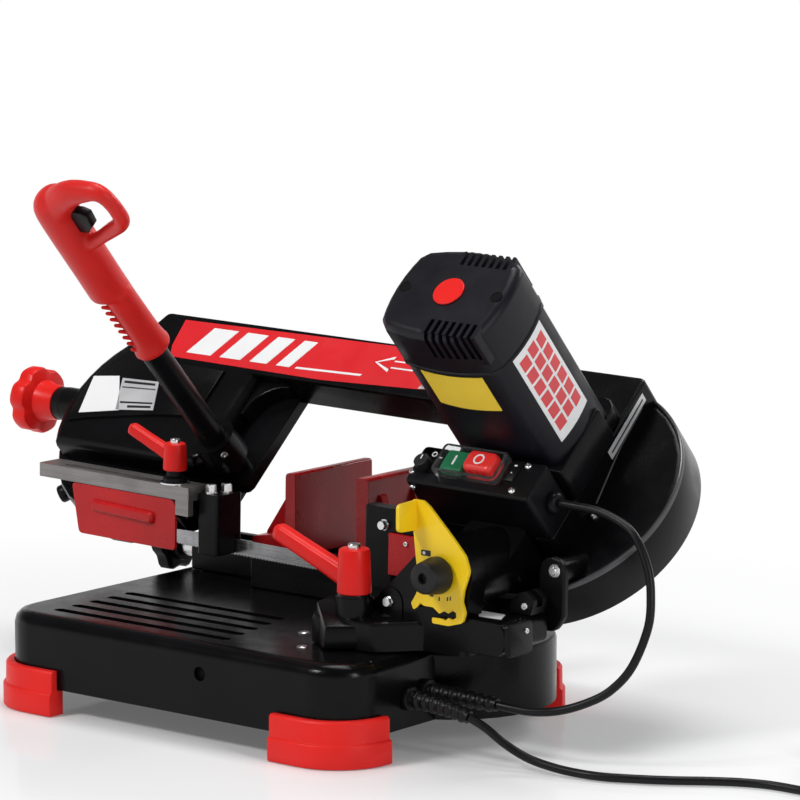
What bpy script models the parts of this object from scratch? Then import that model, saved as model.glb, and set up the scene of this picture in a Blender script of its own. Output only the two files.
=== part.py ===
"""Benchtop horizontal band saw: a gravity-fed bow on a mitre arm over a cast base with a vise.

Sizes are millimetres. In the saw's own layout X runs along the bow towards the motor, Y runs away
from the operator and Z is up, with zero on the bench under the middle of the base.
"""
import math
from collections import namedtuple

import bpy
import bmesh
from mathutils import Vector

MM = 0.001
GAP = 0.3

# Shift from the base's middle to the middle of the whole saw's outline
ORIGIN_X = -20.34
ORIGIN_Y = 4.19

# Base and feet
BASE_LEFT, BASE_RIGHT = -180.0, 172.0
BASE_FRONT, BASE_BACK = -135.0, 132.0
BASE_CORNER = 38.0
BASE_LOW, BASE_TOP = 20.0, 75.0
BASE_WALL = 6.0
FOOT_OUT = 7.0
FOOT_TOP = 35.0
FOOT_STEP = 18.0
FOOT_ALONG_X, FOOT_ALONG_Y = 74.0, 49.0

# Mitre pivot, round boss and turntable
PIVOT = (133.0, 38.0)
BOSS_RADIUS, BOSS_TOP = 80.0, 70.0
TABLE_RADIUS, TABLE_TOP = 50.0, 76.0
PIVOT_PIN = 8.0

# Head hinge, parallel to Y; the head rests a little above level, near the end of a cut
HINGE = (196.0, 136.0)
HINGE_PIN = 8.0
HINGE_RADIUS = 26.0
HEAD_LIFT = 1.3

# Blade and its wheels; the wheel plane leans back by WHEEL_LEAN about X
WHEEL_LEAN = 43.0
DRIVE_CENTRE = (199.0, 100.0, 160.0)
WHEEL_SPAN = 403.0
WHEEL_RADIUS = 83.3
BLADE_RADIUS = 84.4
BLADE_WIDTH, BLADE_THICK = 13.0, 0.65
BLADE_PLANE_Y = DRIVE_CENTRE[1] - BLADE_RADIUS * math.cos(math.radians(WHEEL_LEAN))

# Bow casting, in the wheel plane's frame: x along the bow, v across it, n out of the plane
RIM_RADIUS, IDLER_RIM = 101.0, 94.0
RIM_BACK = -9.0
HOUSING_X, HOUSING_RADIUS, HOUSING_RIGHT = -391.0, 96.0, -315.0
CHANNEL_LOW, BEAM_LOW = 70.0, 47.0
LEG_RIGHT = -312.0
DISH_FRONT = 28.0
BEAM_FRONT = 52.0
HOUSING_FRONT = 51.0
BOW_WALL, RIM_WALL = 6.0, 4.0

# Motor and switch box, in the same frame
MOTOR_X, MOTOR_V = -8.0, 17.0
MOTOR_HALF_X, MOTOR_HALF_V = 50.0, 41.0
MOTOR_LOW, MOTOR_SEAM, MOTOR_TOP = 66.0, 190.0, 232.0
BOX_TOP = 98.0

# Handle, standing along n
HANDLE_X, HANDLE_V = -300.0, -30.0
TUBE_RADIUS = 10.5
TUBE_END = 180.7

# Tension screw, along x
TENSION_N = 36.0

# Vise
BED_TOP = 104.5
SCREW_Y, SCREW_Z = 92.0, 91.0
SCREW_RADIUS = 6.0
FIXED_FACE_X, MOVING_FACE_X = 28.0, -31.0

# Cords
CORD = 6.4
CORD_FLOOR = CORD / 2 + 0.2
COIL_CENTRE = (508.0, 61.0)
COIL_OUTER, COIL_PITCH, COIL_TURNS = 48.0, 7.1, 3
COIL_LOW = 4.6

Frame = namedtuple("Frame", "empty origin")
Look = namedtuple("Look", "name colour roughness metallic")

BLACK_IRON = Look("black_casting", (0.012, 0.012, 0.014), 0.36, 0.0)
BLACK_PLASTIC = Look("black_plastic", (0.014, 0.014, 0.016), 0.42, 0.0)
RED_PLASTIC = Look("red_plastic", (0.68, 0.03, 0.025), 0.36, 0.0)
RED_PAINT = Look("red_paint", (0.42, 0.012, 0.012), 0.4, 0.0)
RED_RUBBER = Look("red_rubber", (0.6, 0.03, 0.03), 0.55, 0.0)
YELLOW = Look("yellow_plate", (0.9, 0.56, 0.01), 0.38, 0.0)
STEEL = Look("bright_steel", (0.5, 0.5, 0.5), 0.3, 1.0)
GREY_STEEL = Look("grey_bar", (0.2, 0.18, 0.18), 0.42, 0.7)
BLADE_STEEL = Look("blade_steel", (0.32, 0.32, 0.33), 0.35, 1.0)
CAST_ALLOY = Look("cast_alloy", (0.42, 0.42, 0.43), 0.45, 0.9)
GREEN = Look("green_button", (0.02, 0.2, 0.07), 0.3, 0.0)
CLEAR = Look("clear_hood", (0.6, 0.62, 0.62), 0.15, 0.0)
CABLE = Look("black_cable", (0.015, 0.015, 0.016), 0.5, 0.0)


# Outlines

def arc(centre, radius, start, end, steps):
    """Points on an arc from start to end degrees, both ends included."""
    angles = [math.radians(start + (end - start) * i / steps) for i in range(steps + 1)]
    return [(centre[0] + radius * math.cos(a), centre[1] + radius * math.sin(a)) for a in angles]


def circle(centre, radius, sides):
    return arc(centre, radius, 0, 360, sides)[:-1]


def rounded_polygon(corners, steps=3):
    """A closed outline from (x, y, radius) corners, each rounded by its radius."""
    points = []
    for i, (x, y, radius) in enumerate(corners):
        here = Vector((x, y))
        if radius == 0:
            points.append((x, y))
            continue
        back = (Vector(corners[i - 1][:2]) - here).normalized()
        ahead = (Vector(corners[(i + 1) % len(corners)][:2]) - here).normalized()
        half = back.angle(ahead) / 2
        reach = radius / math.tan(half)
        centre = here + (back + ahead).normalized() * (radius / math.sin(half))
        first = here + back * reach - centre
        last = here + ahead * reach - centre
        start = math.atan2(first.y, first.x)
        turn = (math.atan2(last.y, last.x) - start + math.pi) % (2 * math.pi) - math.pi
        points += [(centre.x + radius * math.cos(start + turn * k / steps),
                    centre.y + radius * math.sin(start + turn * k / steps)) for k in range(steps + 1)]
    return points


def rounded_rect(x0, y0, x1, y1, radius, steps=3):
    return rounded_polygon([(x0, y0, radius), (x1, y0, radius), (x1, y1, radius), (x0, y1, radius)], steps)


def inset(points, distance):
    """A counter-clockwise outline moved inwards by distance."""
    moved = []
    for i, point in enumerate(points):
        here = Vector(point)
        first = (here - Vector(points[i - 1])).normalized()
        second = (Vector(points[(i + 1) % len(points)]) - here).normalized()
        inward = Vector((-first.y - second.y, first.x + second.x)).normalized()
        side = max(inward.dot(Vector((-first.y, first.x))), 0.4)
        moved.append(tuple(here + inward * (distance / side)))
    return moved


# Bodies

def add_frame(name, parent, point, turn=(0, 0, 0)):
    """An empty on a joint's axis; pieces on it are still given in the parent's layout."""
    empty = bpy.data.objects.new(name, None)
    bpy.context.collection.objects.link(empty)
    if parent:
        empty.parent = parent.empty
        empty.location = (Vector(point) - Vector(parent.origin)) * MM
    else:
        empty.location = Vector(point) * MM
    empty.rotation_euler = [math.radians(angle) for angle in turn]
    return Frame(empty, tuple(point))


def material(look):
    existing = bpy.data.materials.get(look.name)
    if existing:
        return existing
    made = bpy.data.materials.new(look.name)
    made.use_nodes = True
    shader = made.node_tree.nodes["Principled BSDF"]
    shader.inputs["Base Color"].default_value = (*look.colour, 1.0)
    shader.inputs["Roughness"].default_value = look.roughness
    shader.inputs["Metallic"].default_value = look.metallic
    return made


def place(name, data, look, frame):
    """Put mesh or curve data into the scene as a piece on a frame."""
    piece = bpy.data.objects.new(name, data)
    bpy.context.collection.objects.link(piece)
    piece.parent = frame.empty
    data.materials.append(material(look))
    return piece


def loft(name, rings, look, frame, closed=False):
    """A closed body through rings of points; closed joins the last ring to the first instead of capping."""
    body = bmesh.new()
    origin = Vector(frame.origin)
    rows = [[body.verts.new((Vector(p) - origin) * MM) for p in ring] for ring in rings]
    pairs = list(zip(rows, rows[1:]))
    if closed:
        pairs.append((rows[-1], rows[0]))
    else:
        body.faces.new(list(reversed(rows[0])))
        body.faces.new(rows[-1])
    for low, high in pairs:
        for i in range(len(low)):
            j = (i + 1) % len(low)
            body.faces.new((low[i], low[j], high[j], high[i]))
    bmesh.ops.recalc_face_normals(body, faces=body.faces)
    mesh = bpy.data.meshes.new(name)
    body.to_mesh(mesh)
    body.free()
    mesh.shade_smooth()
    mesh.set_sharp_from_angle(angle=math.radians(35))
    return place(name, mesh, look, frame)


def along(axis, u, v, w):
    """A point from outline coordinates u, v and height w, for a body standing along an axis."""
    return {"X": (w, u, v), "Y": (u, w, v), "Z": (u, v, w)}[axis]


def prism(name, outline, low, high, look, frame, axis="Z", top=0.0, bottom=0.0, steps=2):
    """An outline drawn out from low to high, with its top or bottom edge rounded."""
    levels = []
    if bottom:
        levels += [(bottom * (1 - math.sin(math.pi / 2 * k / steps)),
                    low + bottom * (1 - math.cos(math.pi / 2 * k / steps))) for k in range(steps + 1)]
    else:
        levels.append((0.0, low))
    if top:
        levels += [(top * (1 - math.cos(math.pi / 2 * k / steps)),
                    high - top * (1 - math.sin(math.pi / 2 * k / steps))) for k in range(steps + 1)]
    else:
        levels.append((0.0, high))
    rings = [[along(axis, u, v, w) for u, v in (inset(outline, d) if d else outline)] for d, w in levels]
    return loft(name, rings, look, frame)


def block(name, low, high, look, frame, radius=0.0):
    """A box between two corners, its upright edges rounded by radius."""
    if radius:
        outline = rounded_rect(low[0], low[1], high[0], high[1], radius, 2)
    else:
        outline = [(low[0], low[1]), (high[0], low[1]), (high[0], high[1]), (low[0], high[1])]
    return prism(name, outline, low[2], high[2], look, frame)


def turned(name, profile, look, frame, centre=(0, 0, 0), axis="Z", sides=24, hollow=False):
    """A body of revolution from (radius, height) points; hollow closes the profile on itself."""
    rings = []
    for radius, height in profile:
        ring = []
        for u, v in circle((0, 0), radius, sides):
            spot = Vector(centre) + Vector(along(axis, u, v, height))
            ring.append(tuple(spot))
        rings.append(ring)
    return loft(name, rings, look, frame, closed=hollow)


def rod(name, radius, low, high, look, frame, centre=(0, 0, 0), axis="Z", sides=20):
    return turned(name, [(radius, low), (radius, high)], look, frame, centre, axis, sides)


def combine(target, tool, operation):
    """Join a tool to a body or cut it out; the tool is used up."""
    change = target.modifiers.new(operation, "BOOLEAN")
    change.operation = operation
    change.solver = "EXACT"
    change.object = tool
    bpy.context.view_layer.update()
    evaluated = target.evaluated_get(bpy.context.evaluated_depsgraph_get())
    mesh = bpy.data.meshes.new_from_object(evaluated)
    target.modifiers.clear()
    target.data = mesh
    mesh.shade_smooth()
    mesh.set_sharp_from_angle(angle=math.radians(35))
    bpy.data.objects.remove(tool)


def join(target, *tools):
    for tool in tools:
        combine(target, tool, "UNION")


def cut(target, *tools):
    for tool in tools:
        combine(target, tool, "DIFFERENCE")


def smooth_route(points, spacing):
    """Evenly spaced points on a smooth curve through a route's own points."""
    knots = [Vector(p) for p in points]
    knots = [knots[0] * 2 - knots[1]] + knots + [knots[-1] * 2 - knots[-2]]
    fine = []
    for a, b, c, d in zip(knots, knots[1:], knots[2:], knots[3:]):
        for k in range(24):
            t = k / 24
            fine.append(0.5 * (2 * b + (c - a) * t + (2 * a - 5 * b + 4 * c - d) * t * t
                               + (3 * b - a - 3 * c + d) * t ** 3))
    fine.append(knots[-2])
    lengths = [0.0]
    for p, q in zip(fine, fine[1:]):
        lengths.append(lengths[-1] + (q - p).length)
    count = max(2, round(lengths[-1] / spacing))
    route = []
    k = 0
    for i in range(count + 1):
        want = lengths[-1] * i / count
        while k < len(fine) - 2 and lengths[k + 1] < want:
            k += 1
        share = (want - lengths[k]) / max(lengths[k + 1] - lengths[k], 1e-9)
        route.append(tuple(fine[k].lerp(fine[k + 1], min(share, 1.0))))
    return route


def cord_tube(name, points, diameter, look, frame, resolution=2):
    """A round cord as a bevelled curve with filled ends."""
    curve = bpy.data.curves.new(name, "CURVE")
    curve.dimensions = "3D"
    curve.bevel_depth = diameter / 2 * MM
    curve.bevel_resolution = resolution
    curve.use_fill_caps = True
    spline = curve.splines.new("POLY")
    spline.points.add(len(points) - 1)
    for knot, point in zip(spline.points, points):
        knot.co = (*((Vector(point) - Vector(frame.origin)) * MM), 1.0)
    return place(name, curve, look, frame)


# Base, feet and vise

def base_outline(grow=0.0):
    return rounded_rect(BASE_LEFT - grow, BASE_FRONT - grow, BASE_RIGHT + grow, BASE_BACK + grow,
                        BASE_CORNER + grow, 5)


def make_base(saw):
    base = prism("base_casting", base_outline(), BASE_LOW, BASE_TOP, BLACK_IRON, saw, top=11.0, steps=3)
    boss = prism("boss", circle(PIVOT, BOSS_RADIUS, 40), BASE_LOW, BOSS_TOP, BLACK_IRON, saw, top=3.0)
    join(base, boss)
    cut(base, prism("seat", circle(PIVOT, BOSS_RADIUS + 1, 40), BOSS_TOP, BASE_TOP + 5, BLACK_IRON, saw))
    inside = inset(base_outline(), BASE_WALL)
    cut(base, prism("underside", inside, BASE_LOW - 5, BOSS_TOP - BASE_WALL, BLACK_IRON, saw))
    cut(base, prism("boss_underside", circle(PIVOT, BOSS_RADIUS - BASE_WALL, 32), BASE_LOW - 5,
                    BOSS_TOP - BASE_WALL, BLACK_IRON, saw))
    cut(base, rod("pivot_hole", PIVOT_PIN + GAP, 40, 90, BLACK_IRON, saw, (*PIVOT, 0), sides=16))
    for i in range(5):
        groove_y = -112 + 20 * i
        cut(base, prism("groove", rounded_rect(-140, groove_y, 38 - 4 * i, groove_y + 9, 4, 2),
                        BASE_TOP - 2, BASE_TOP + 5, BLACK_IRON, saw))
    cut(base, rod("front_hole", 5.5, BASE_FRONT - 5, BASE_FRONT + 12, BLACK_IRON, saw, (32, 0, 53), "Y", 16))
    return base


def make_feet(saw):
    """Four rubber corner feet that wrap the base's corners and stand under its rim."""
    for side_x, side_y, name in ((-1, -1, "foot_front_left"), (1, -1, "foot_front_right"),
                                 (-1, 1, "foot_rear_left"), (1, 1, "foot_rear_right")):
        edge_x = BASE_RIGHT if side_x > 0 else -BASE_LEFT
        edge_y = BASE_BACK if side_y > 0 else -BASE_FRONT

        def corner(grow, x_reach, y_reach):
            x1, y1 = edge_x + grow, edge_y + grow
            x0, y0 = edge_x - x_reach, edge_y - y_reach
            points = [(x0, y0, 6), (x1, y0, 3), (x1, y1, BASE_CORNER + grow), (x0, y1, 3)]
            signed = [(side_x * x, side_y * y, radius) for x, y, radius in points]
            if side_x * side_y < 0:
                signed.reverse()
            return rounded_polygon(signed, 5)

        foot = prism(name, corner(FOOT_OUT, FOOT_ALONG_X - FOOT_OUT, FOOT_ALONG_Y - FOOT_OUT),
                     FOOT_STEP, FOOT_TOP, RED_RUBBER, saw, top=1.5, steps=1)
        tread = prism("tread", corner(FOOT_OUT + 1.2, FOOT_ALONG_X - FOOT_OUT + 1.2, FOOT_ALONG_Y - FOOT_OUT + 1.2),
                      0.0, FOOT_STEP + 0.5, RED_RUBBER, saw, top=1.0, steps=1)
        join(foot, tread)
        cut(foot, prism("rim_seat", base_outline(GAP), BASE_LOW - GAP, FOOT_TOP + 5, RED_RUBBER, saw))
        if side_x * side_y > 0 and side_x > 0:
            cut(foot, prism("boss_seat", circle(PIVOT, BOSS_RADIUS + 2 * GAP, 40), BASE_LOW - GAP, FOOT_TOP + 5,
                            RED_RUBBER, saw))


def make_vise(saw):
    bed = block("vise_bed", (-78, 48.5, BASE_TOP + GAP), (64, 130, BED_TOP), BLACK_IRON, saw, 3)
    join(bed, block("screw_rail", (-165, 76, BASE_TOP + GAP), (-60, 108, BED_TOP), BLACK_IRON, saw, 3))
    cut(bed, block("screw_slot", (-150, 84, 81), (24, 100, BED_TOP + 5), BLACK_IRON, saw))
    cut(bed, rod("screw_bore", SCREW_RADIUS + GAP, -170, -140, BLACK_IRON, saw, (0, SCREW_Y, SCREW_Z), "X", 16))

    fixed_profile = rounded_polygon([(FIXED_FACE_X, BED_TOP + GAP, 0), (62, BED_TOP + GAP, 2), (62, 116, 3),
                                     (41, 119, 5), (40, 174, 3), (FIXED_FACE_X, 174, 2)], 2)
    fixed = prism("fixed_jaw", fixed_profile, 53, 136, RED_PAINT, saw, "Y")
    rib = rounded_polygon([(39, 112, 0), (60, 112, 0), (59, 119, 2), (42, 160, 2), (39, 160, 0)], 2)
    for rib_y in (66, 106):
        join(fixed, prism("jaw_rib", rib, rib_y, rib_y + 8, RED_PAINT, saw, "Y"))

    slide = add_frame("moving_jaw_slide", saw, (MOVING_FACE_X, SCREW_Y, SCREW_Z))
    moving_profile = rounded_polygon([(-76, BED_TOP + GAP, 2), (MOVING_FACE_X, BED_TOP + GAP, 0),
                                      (MOVING_FACE_X, 171, 2), (-41, 171, 3), (-42, 122, 5), (-76, 117, 3)], 2)
    moving = prism("moving_jaw", moving_profile, 50, 146, RED_PAINT, slide, "Y")
    rib = rounded_polygon([(-74, 114, 0), (-40, 114, 0), (-40, 160, 0), (-44, 160, 2), (-72, 120, 2)], 2)
    for rib_y in (64, 116):
        join(moving, prism("jaw_rib", rib, rib_y, rib_y + 8, RED_PAINT, slide, "Y"))
    join(moving, block("nut", (-72, 84 + GAP, 82), (-46, 100 - GAP, BED_TOP + 4), RED_PAINT, slide))
    cut(moving, rod("nut_bore", SCREW_RADIUS + GAP, -90, -40, RED_PAINT, slide, (0, SCREW_Y, SCREW_Z), "X", 16))

    spin = add_frame("vise_screw_axis", saw, (-206, SCREW_Y, SCREW_Z))
    screw_profile = [(SCREW_RADIUS, -199), (SCREW_RADIUS, -180), (9, -180), (9, -165 - GAP),
                     (SCREW_RADIUS, -165 - GAP), (SCREW_RADIUS, 14), (SCREW_RADIUS - 2, 18)]
    turned("vise_screw", screw_profile, STEEL, spin, (0, SCREW_Y, SCREW_Z), "X", 16)
    make_handwheel(spin)


def lobed_knob(name, lobes, mean, swell, low, high, look, frame, centre):
    """A knob along X with rounded lobes for the fingers."""
    outline = []
    for k in range(36):
        angle = 2 * math.pi * k / 36
        radius = mean + swell * math.cos(lobes * angle)
        outline.append((centre[0] + radius * math.cos(angle), centre[1] + radius * math.sin(angle)))
    return prism(name, outline, low, high, look, frame, "X", top=2.5, bottom=3.0, steps=1)


def make_handwheel(spin):
    """A hand knob on the outer end of the vise screw, small enough to clear the bow above it."""
    knob = lobed_knob("vise_handwheel", 6, 21.0, 2.0, -204, -188, BLACK_PLASTIC, spin, (SCREW_Y, SCREW_Z))
    join(knob, rod("hub", 13, -190, -182, BLACK_PLASTIC, spin, (0, SCREW_Y, SCREW_Z), "X", 20))
    cut(knob, rod("screw_seat", SCREW_RADIUS + GAP, -199 - GAP, -170, BLACK_PLASTIC, spin, (0, SCREW_Y, SCREW_Z), "X", 16))


# Mitre arm

def make_swivel_arm(swivel):
    arm = rod("swivel_arm", TABLE_RADIUS, BOSS_TOP + GAP, TABLE_TOP, BLACK_IRON, swivel, (*PIVOT, 0), sides=32)
    deck = rounded_polygon([(90, -80, 10), (152, -80, 8), (176, -52, 6), (216, -52, 6), (216, -22, 6), (176, -6, 8),
                            (172, 30, 10), (100, 30, 10), (86, -30, 12)], 2)
    neck = rounded_polygon([(96, -10, 0), (176, -10, 0), (168, 20, 8), (100, 20, 8)], 2)
    join(arm, prism("neck", neck, BASE_TOP + 1, BASE_TOP + 5.5, BLACK_IRON, swivel))
    front = [(x, min(y, -8)) for x, y in deck]
    front = [p for i, p in enumerate(front) if p != front[i - 1]]
    join(arm, prism("deck", front, BASE_TOP + 1.2, 98, BLACK_IRON, swivel, top=4.0))
    upright = ([(130, 92), (214, 92)] + arc(HINGE, HINGE_RADIUS, -12, 128, 12) + [(130, 107)])
    join(arm, prism("upright", upright, -52, -34, BLACK_IRON, swivel, "Y"))
    beam = rounded_rect(182, 80, 252, 106, 10)
    join(arm, prism("spring_case", beam, -52.5, -21.5, BLACK_IRON, swivel, "Y", top=2.0, bottom=2.0))
    join(arm, prism("clevis_foot", rounded_rect(224, 84, 252, 106, 6), -30, 0, BLACK_IRON, swivel, "Y", top=1.5, steps=1))
    lug = [(136, 95), (158, 95)] + arc((147, 109), 11, 0, 180, 8)
    join(arm, prism("clamp_lug", lug, -53, -44, BLACK_IRON, swivel, "Y"))
    join(arm, rod("lever_seat", 14, 90, 112, BLACK_IRON, swivel, (122, -64, 0), sides=20))
    cut(arm, block("spring_bore", (191, -45, 85), (270, -29, 101), BLACK_IRON, swivel))
    cut(arm, rod("pin_bore", HINGE_PIN + GAP, -60, -25, BLACK_IRON, swivel, (HINGE[0], 0, HINGE[1]), "Y", 16))
    cut(arm, rod("pivot_bore", PIVOT_PIN + GAP, 60, 90, BLACK_IRON, swivel, (*PIVOT, 0), sides=16))
    return arm


def make_mitre_pieces(saw, swivel):
    bolt = [(PIVOT_PIN, 54), (PIVOT_PIN, TABLE_TOP + GAP), (14, TABLE_TOP + GAP), (14, 81.5), (11, 83)]
    bolt_piece = turned("swivel_pivot_bolt", bolt, STEEL, saw, (*PIVOT, 0), sides=16)
    cut(bolt_piece, rod("hex_socket", 5.5, 79, 90, STEEL, saw, (*PIVOT, 0), sides=6))
    rod("hinge_pin", HINGE_PIN, -58, 4, STEEL, swivel, (HINGE[0], 0, HINGE[1]), "Y", 16)
    make_spring(swivel)
    clevis = rounded_polygon([(230, 106 + GAP, 0), (250, 106 + GAP, 0), (254, 118, 5), (244, 124, 4), (233, 118, 5)], 3)
    hook = prism("spring_clevis", clevis, -19, -2, BLACK_IRON, swivel, "Y")
    cut(hook, block("clevis_gap", (220, -14, 112), (260, -7, 130), BLACK_IRON, swivel))


def make_spring(swivel):
    """The feed spring: a close helix in the arm's case, straight at both ends."""
    curls, radius, wire, start, pitch = 9, 5.4, 2.0, 202.0, 4.6
    axis_y, axis_z, steps = -37.0, 93.0, 8
    points = [(start - 3 * wire, axis_y + radius, axis_z)]
    for k in range(curls * steps + 1):
        angle = 2 * math.pi * k / steps
        points.append((start + pitch * k / steps, axis_y + radius * math.cos(angle), axis_z + radius * math.sin(angle)))
    end = points[-1]
    points.append((end[0] + 3 * wire, end[1], end[2]))
    print("feed_spring least gap between curls, mm:", round(pitch - wire, 2))
    cord_tube("feed_spring", points, wire, STEEL, swivel, 0)


def clamp_lever(name, frame, hub, base, height, tip, look, size=1.0):
    """A moulded clamping lever: a tapered hub with a flat arm that rises to a round tip."""
    profile = [(12.5 * size, base), (13.5 * size, base + 2), (12.5 * size, base + height * 0.5),
               (10.5 * size, base + height - 1.5), (9.0 * size, base + height)]
    lever = turned(name, profile, look, frame, (hub[0], hub[1], 0), "Z", 20)
    reach = Vector((tip[0] - hub[0], tip[1] - hub[1], 0))
    length = reach.length
    reach.normalize()
    across = Vector((-reach.y, reach.x, 0))
    rings = []
    for share, half_width, half_height, rise in ((0.08, 7.5, 9.5, 0.0), (0.3, 6.6, 7.0, 0.08), (0.7, 6.2, 6.0, 0.62),
                                                 (0.92, 6.4, 6.0, 0.95), (0.98, 5.2, 4.8, 1.0), (1.0, 2.5, 2.5, 1.0)):
        middle = Vector((hub[0], hub[1], base + height * 0.62 + (tip[2] - base - height * 0.62) * rise))
        middle += reach * (length * share)
        ring = []
        for k in range(10):
            angle = 2 * math.pi * (k + 0.5) / 10
            ring.append(tuple(middle + across * (size * half_width * math.cos(angle))
                              + Vector((0, 0, size * half_height * math.sin(angle)))))
        rings.append(ring)
    join(lever, loft("arm", rings, look, frame))
    return lever


def make_selector(swivel):
    """The yellow feed selector on the hinge axis, with a finger flange and notched foot, and its knob."""
    axis = (HINGE[0], 0, HINGE[1])
    turn = add_frame("selector_axis", swivel, (HINGE[0], -55, HINGE[1]))
    outline = rounded_polygon([(172, 166, 0), (176.5, 148, 6), (175.5, 138, 5), (178.5, 124, 6), (170, 112, 2.5), (171.5, 106, 2),
                               (179.5, 112.5, 2), (186.5, 104.5, 2), (189, 98.5, 2), (203, 97, 6), (218, 101, 6), (220, 110, 4),
                               (218, 117, 6), (226, 136, 12), (219, 161, 12), (189, 187, 8), (172, 189, 2)], 3)
    plate = prism("selector_plate", outline, -56.5, -53.5, YELLOW, turn, "Y")
    flange = rounded_polygon([(-79, 167, 5), (-54, 166, 0), (-54, 188, 0), (-79, 187, 5)], 3)
    join(plate, prism("flange", flange, 172, 175, YELLOW, turn, "X"))
    cut(plate, rod("plate_bore", HINGE_PIN + GAP, -60, -50, YELLOW, turn, axis, "Y", 20))
    for k in range(3):
        cut(plate, rod("notch", 3.4, -60, -50, YELLOW, turn, (196 + 6.0 * k, 0, 104.2 + 0.9 * k), "Y", 10))
    lock = add_frame("selector_knob_axis", swivel, (HINGE[0], -70, HINGE[1]))
    knob = [(15, -58.3), (15, -66), (12.5, -67.5), (12, -76), (10.5, -77.5)]
    piece = turned("selector_knob", knob, BLACK_PLASTIC, lock, axis, "Y", 20)
    cut(piece, rod("knob_recess", 4, -80, -73, BLACK_PLASTIC, lock, axis, "Y", 12))


# Head: bow, wheels, blade, guides

def bow_outline():
    """The bow's rear outline: the idler's rim with its straight leg, the blade channel and the drive's rim."""
    channel = math.degrees(math.asin(CHANNEL_LOW / RIM_RADIUS))
    return (arc((-WHEEL_SPAN, 0), IDLER_RIM, 90, 300, 18) + [(LEG_RIGHT, -55)]
            + arc((LEG_RIGHT + 8, CHANNEL_LOW - 8), 8, 180, 90, 3)
            + arc((0, 0), RIM_RADIUS, 180 - channel, 450, 26))


def housing_outline():
    """The deep idler housing: round outside, flat under the guide bar and along the leg."""
    low = -46.0
    foot = 180 + math.degrees(math.asin(-low / HOUSING_RADIUS))
    curve = arc((HOUSING_X, 0), HOUSING_RADIUS, 90, foot, 14)
    corner = HOUSING_RIGHT - 12
    return curve + arc((corner, low + 12), 12, 270, 360, 3) + arc((corner, HOUSING_RADIUS - 12), 12, 0, 90, 3)


def add_leg(casting, bow):
    """The web beside the deep housing, the arch under the beam and the handle's pillar."""
    web = rounded_polygon([(-340, -44, 6), (-281, -44, 6), (-281, 60, 0), (-340, 60, 0)], 2)
    join(casting, prism("leg_web", web, 17, DISH_FRONT, BLACK_IRON, bow, top=2.0))
    arch = [(-325, 52), (-325, 14), (HOUSING_RIGHT + 2, 14)] + arc((-285, 17), 28, 180, 90, 6) + [(-285, 52)]
    join(casting, prism("arch", arch, 24, 42, BLACK_IRON, bow, top=2.0))
    join(casting, rod("handle_pillar", 12, 20, HOUSING_FRONT, BLACK_IRON, bow, (HANDLE_X, HANDLE_V + 1, 0), sides=20))
    join(casting, rod("handle_boss", 18, HOUSING_FRONT - 8, HOUSING_FRONT + 18, BLACK_IRON, bow,
                      (HANDLE_X, HANDLE_V, 0), sides=20))


def make_bow(head, bow):
    casting = prism("bow_casting", bow_outline(), RIM_BACK, DISH_FRONT, BLACK_IRON, bow, top=5.0, steps=2)
    join(casting, prism("idler_housing", housing_outline(), DISH_FRONT - 12, HOUSING_FRONT, BLACK_IRON, bow, top=9.0, steps=3))
    front = rounded_polygon([(-92, BEAM_LOW, 12), (-75, BEAM_LOW - 17, 12), (-75, -62, 6), (41, -62, 6), (41, 96.5, 5),
                             (-441, 96.5, 6), (-452, 72, 0), (-440, 60, 0), (-420, BEAM_LOW, 0)], 3)
    join(casting, prism("beam", front, DISH_FRONT - 6, BEAM_FRONT, BLACK_IRON, bow, top=3.0))
    add_leg(casting, bow)
    join(casting, block("knuckle_web", (-30, -92, 20), (24, -61.5, 62), BLACK_IRON, bow, 5))
    join(casting, rod("hinge_barrel", HINGE_RADIUS, -33.5, 14, BLACK_IRON, head, (HINGE[0], 0, HINGE[1]), "Y", 28))
    join(casting, block("guide_lug", (-142, 14.5, 124), (-112, 46, 139.7), BLACK_IRON, head, 3))
    join(casting, rod("bracket_boss", 9.5, 10, 48, BLACK_IRON, head, (252, 0, 136), "Y", 18))
    join(casting, rod("tension_boss", 14.5, -497, -470, BLACK_IRON, bow, (0, 0, TENSION_N), "X"))
    cut(casting, prism("wheel_space", inset(bow_outline(), RIM_WALL), RIM_BACK - 5, DISH_FRONT - BOW_WALL, BLACK_IRON, bow))
    cut(casting, prism("housing_space", inset(housing_outline(), BOW_WALL), 5, HOUSING_FRONT - BOW_WALL, BLACK_IRON, bow))
    cut(casting, block("beam_space", (-272, 76, RIM_BACK - 5), (-106, 90, BEAM_FRONT - BOW_WALL), BLACK_IRON, bow, 4))
    cut(casting, block("left_blade_exit", (-380, -97, -9.5), (-324, -72, 11), BLACK_IRON, bow))
    cut(casting, block("right_blade_exit", (-75, -99, -9.5), (-28, -75, 11), BLACK_IRON, bow))
    cut(casting, rod("pin_bore", HINGE_PIN + GAP, -40, 5, BLACK_IRON, head, (HINGE[0], 0, HINGE[1]), "Y", 16))
    cut(casting, rod("tube_socket", TUBE_RADIUS + GAP, HOUSING_FRONT + 0.5, 90, BLACK_IRON, bow, (HANDLE_X, HANDLE_V, 0)))
    cut(casting, rod("shaft_bore", 9, 10, 40, BLACK_IRON, bow, sides=16))
    cut(casting, rod("tension_bore", 5.5, -505, -475, BLACK_IRON, bow, (0, 0, TENSION_N), "X", 14))
    prism("rear_cover", inset(bow_outline(), 2.0), RIM_BACK - GAP - 2.2, RIM_BACK - GAP, BLACK_IRON, bow)


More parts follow.
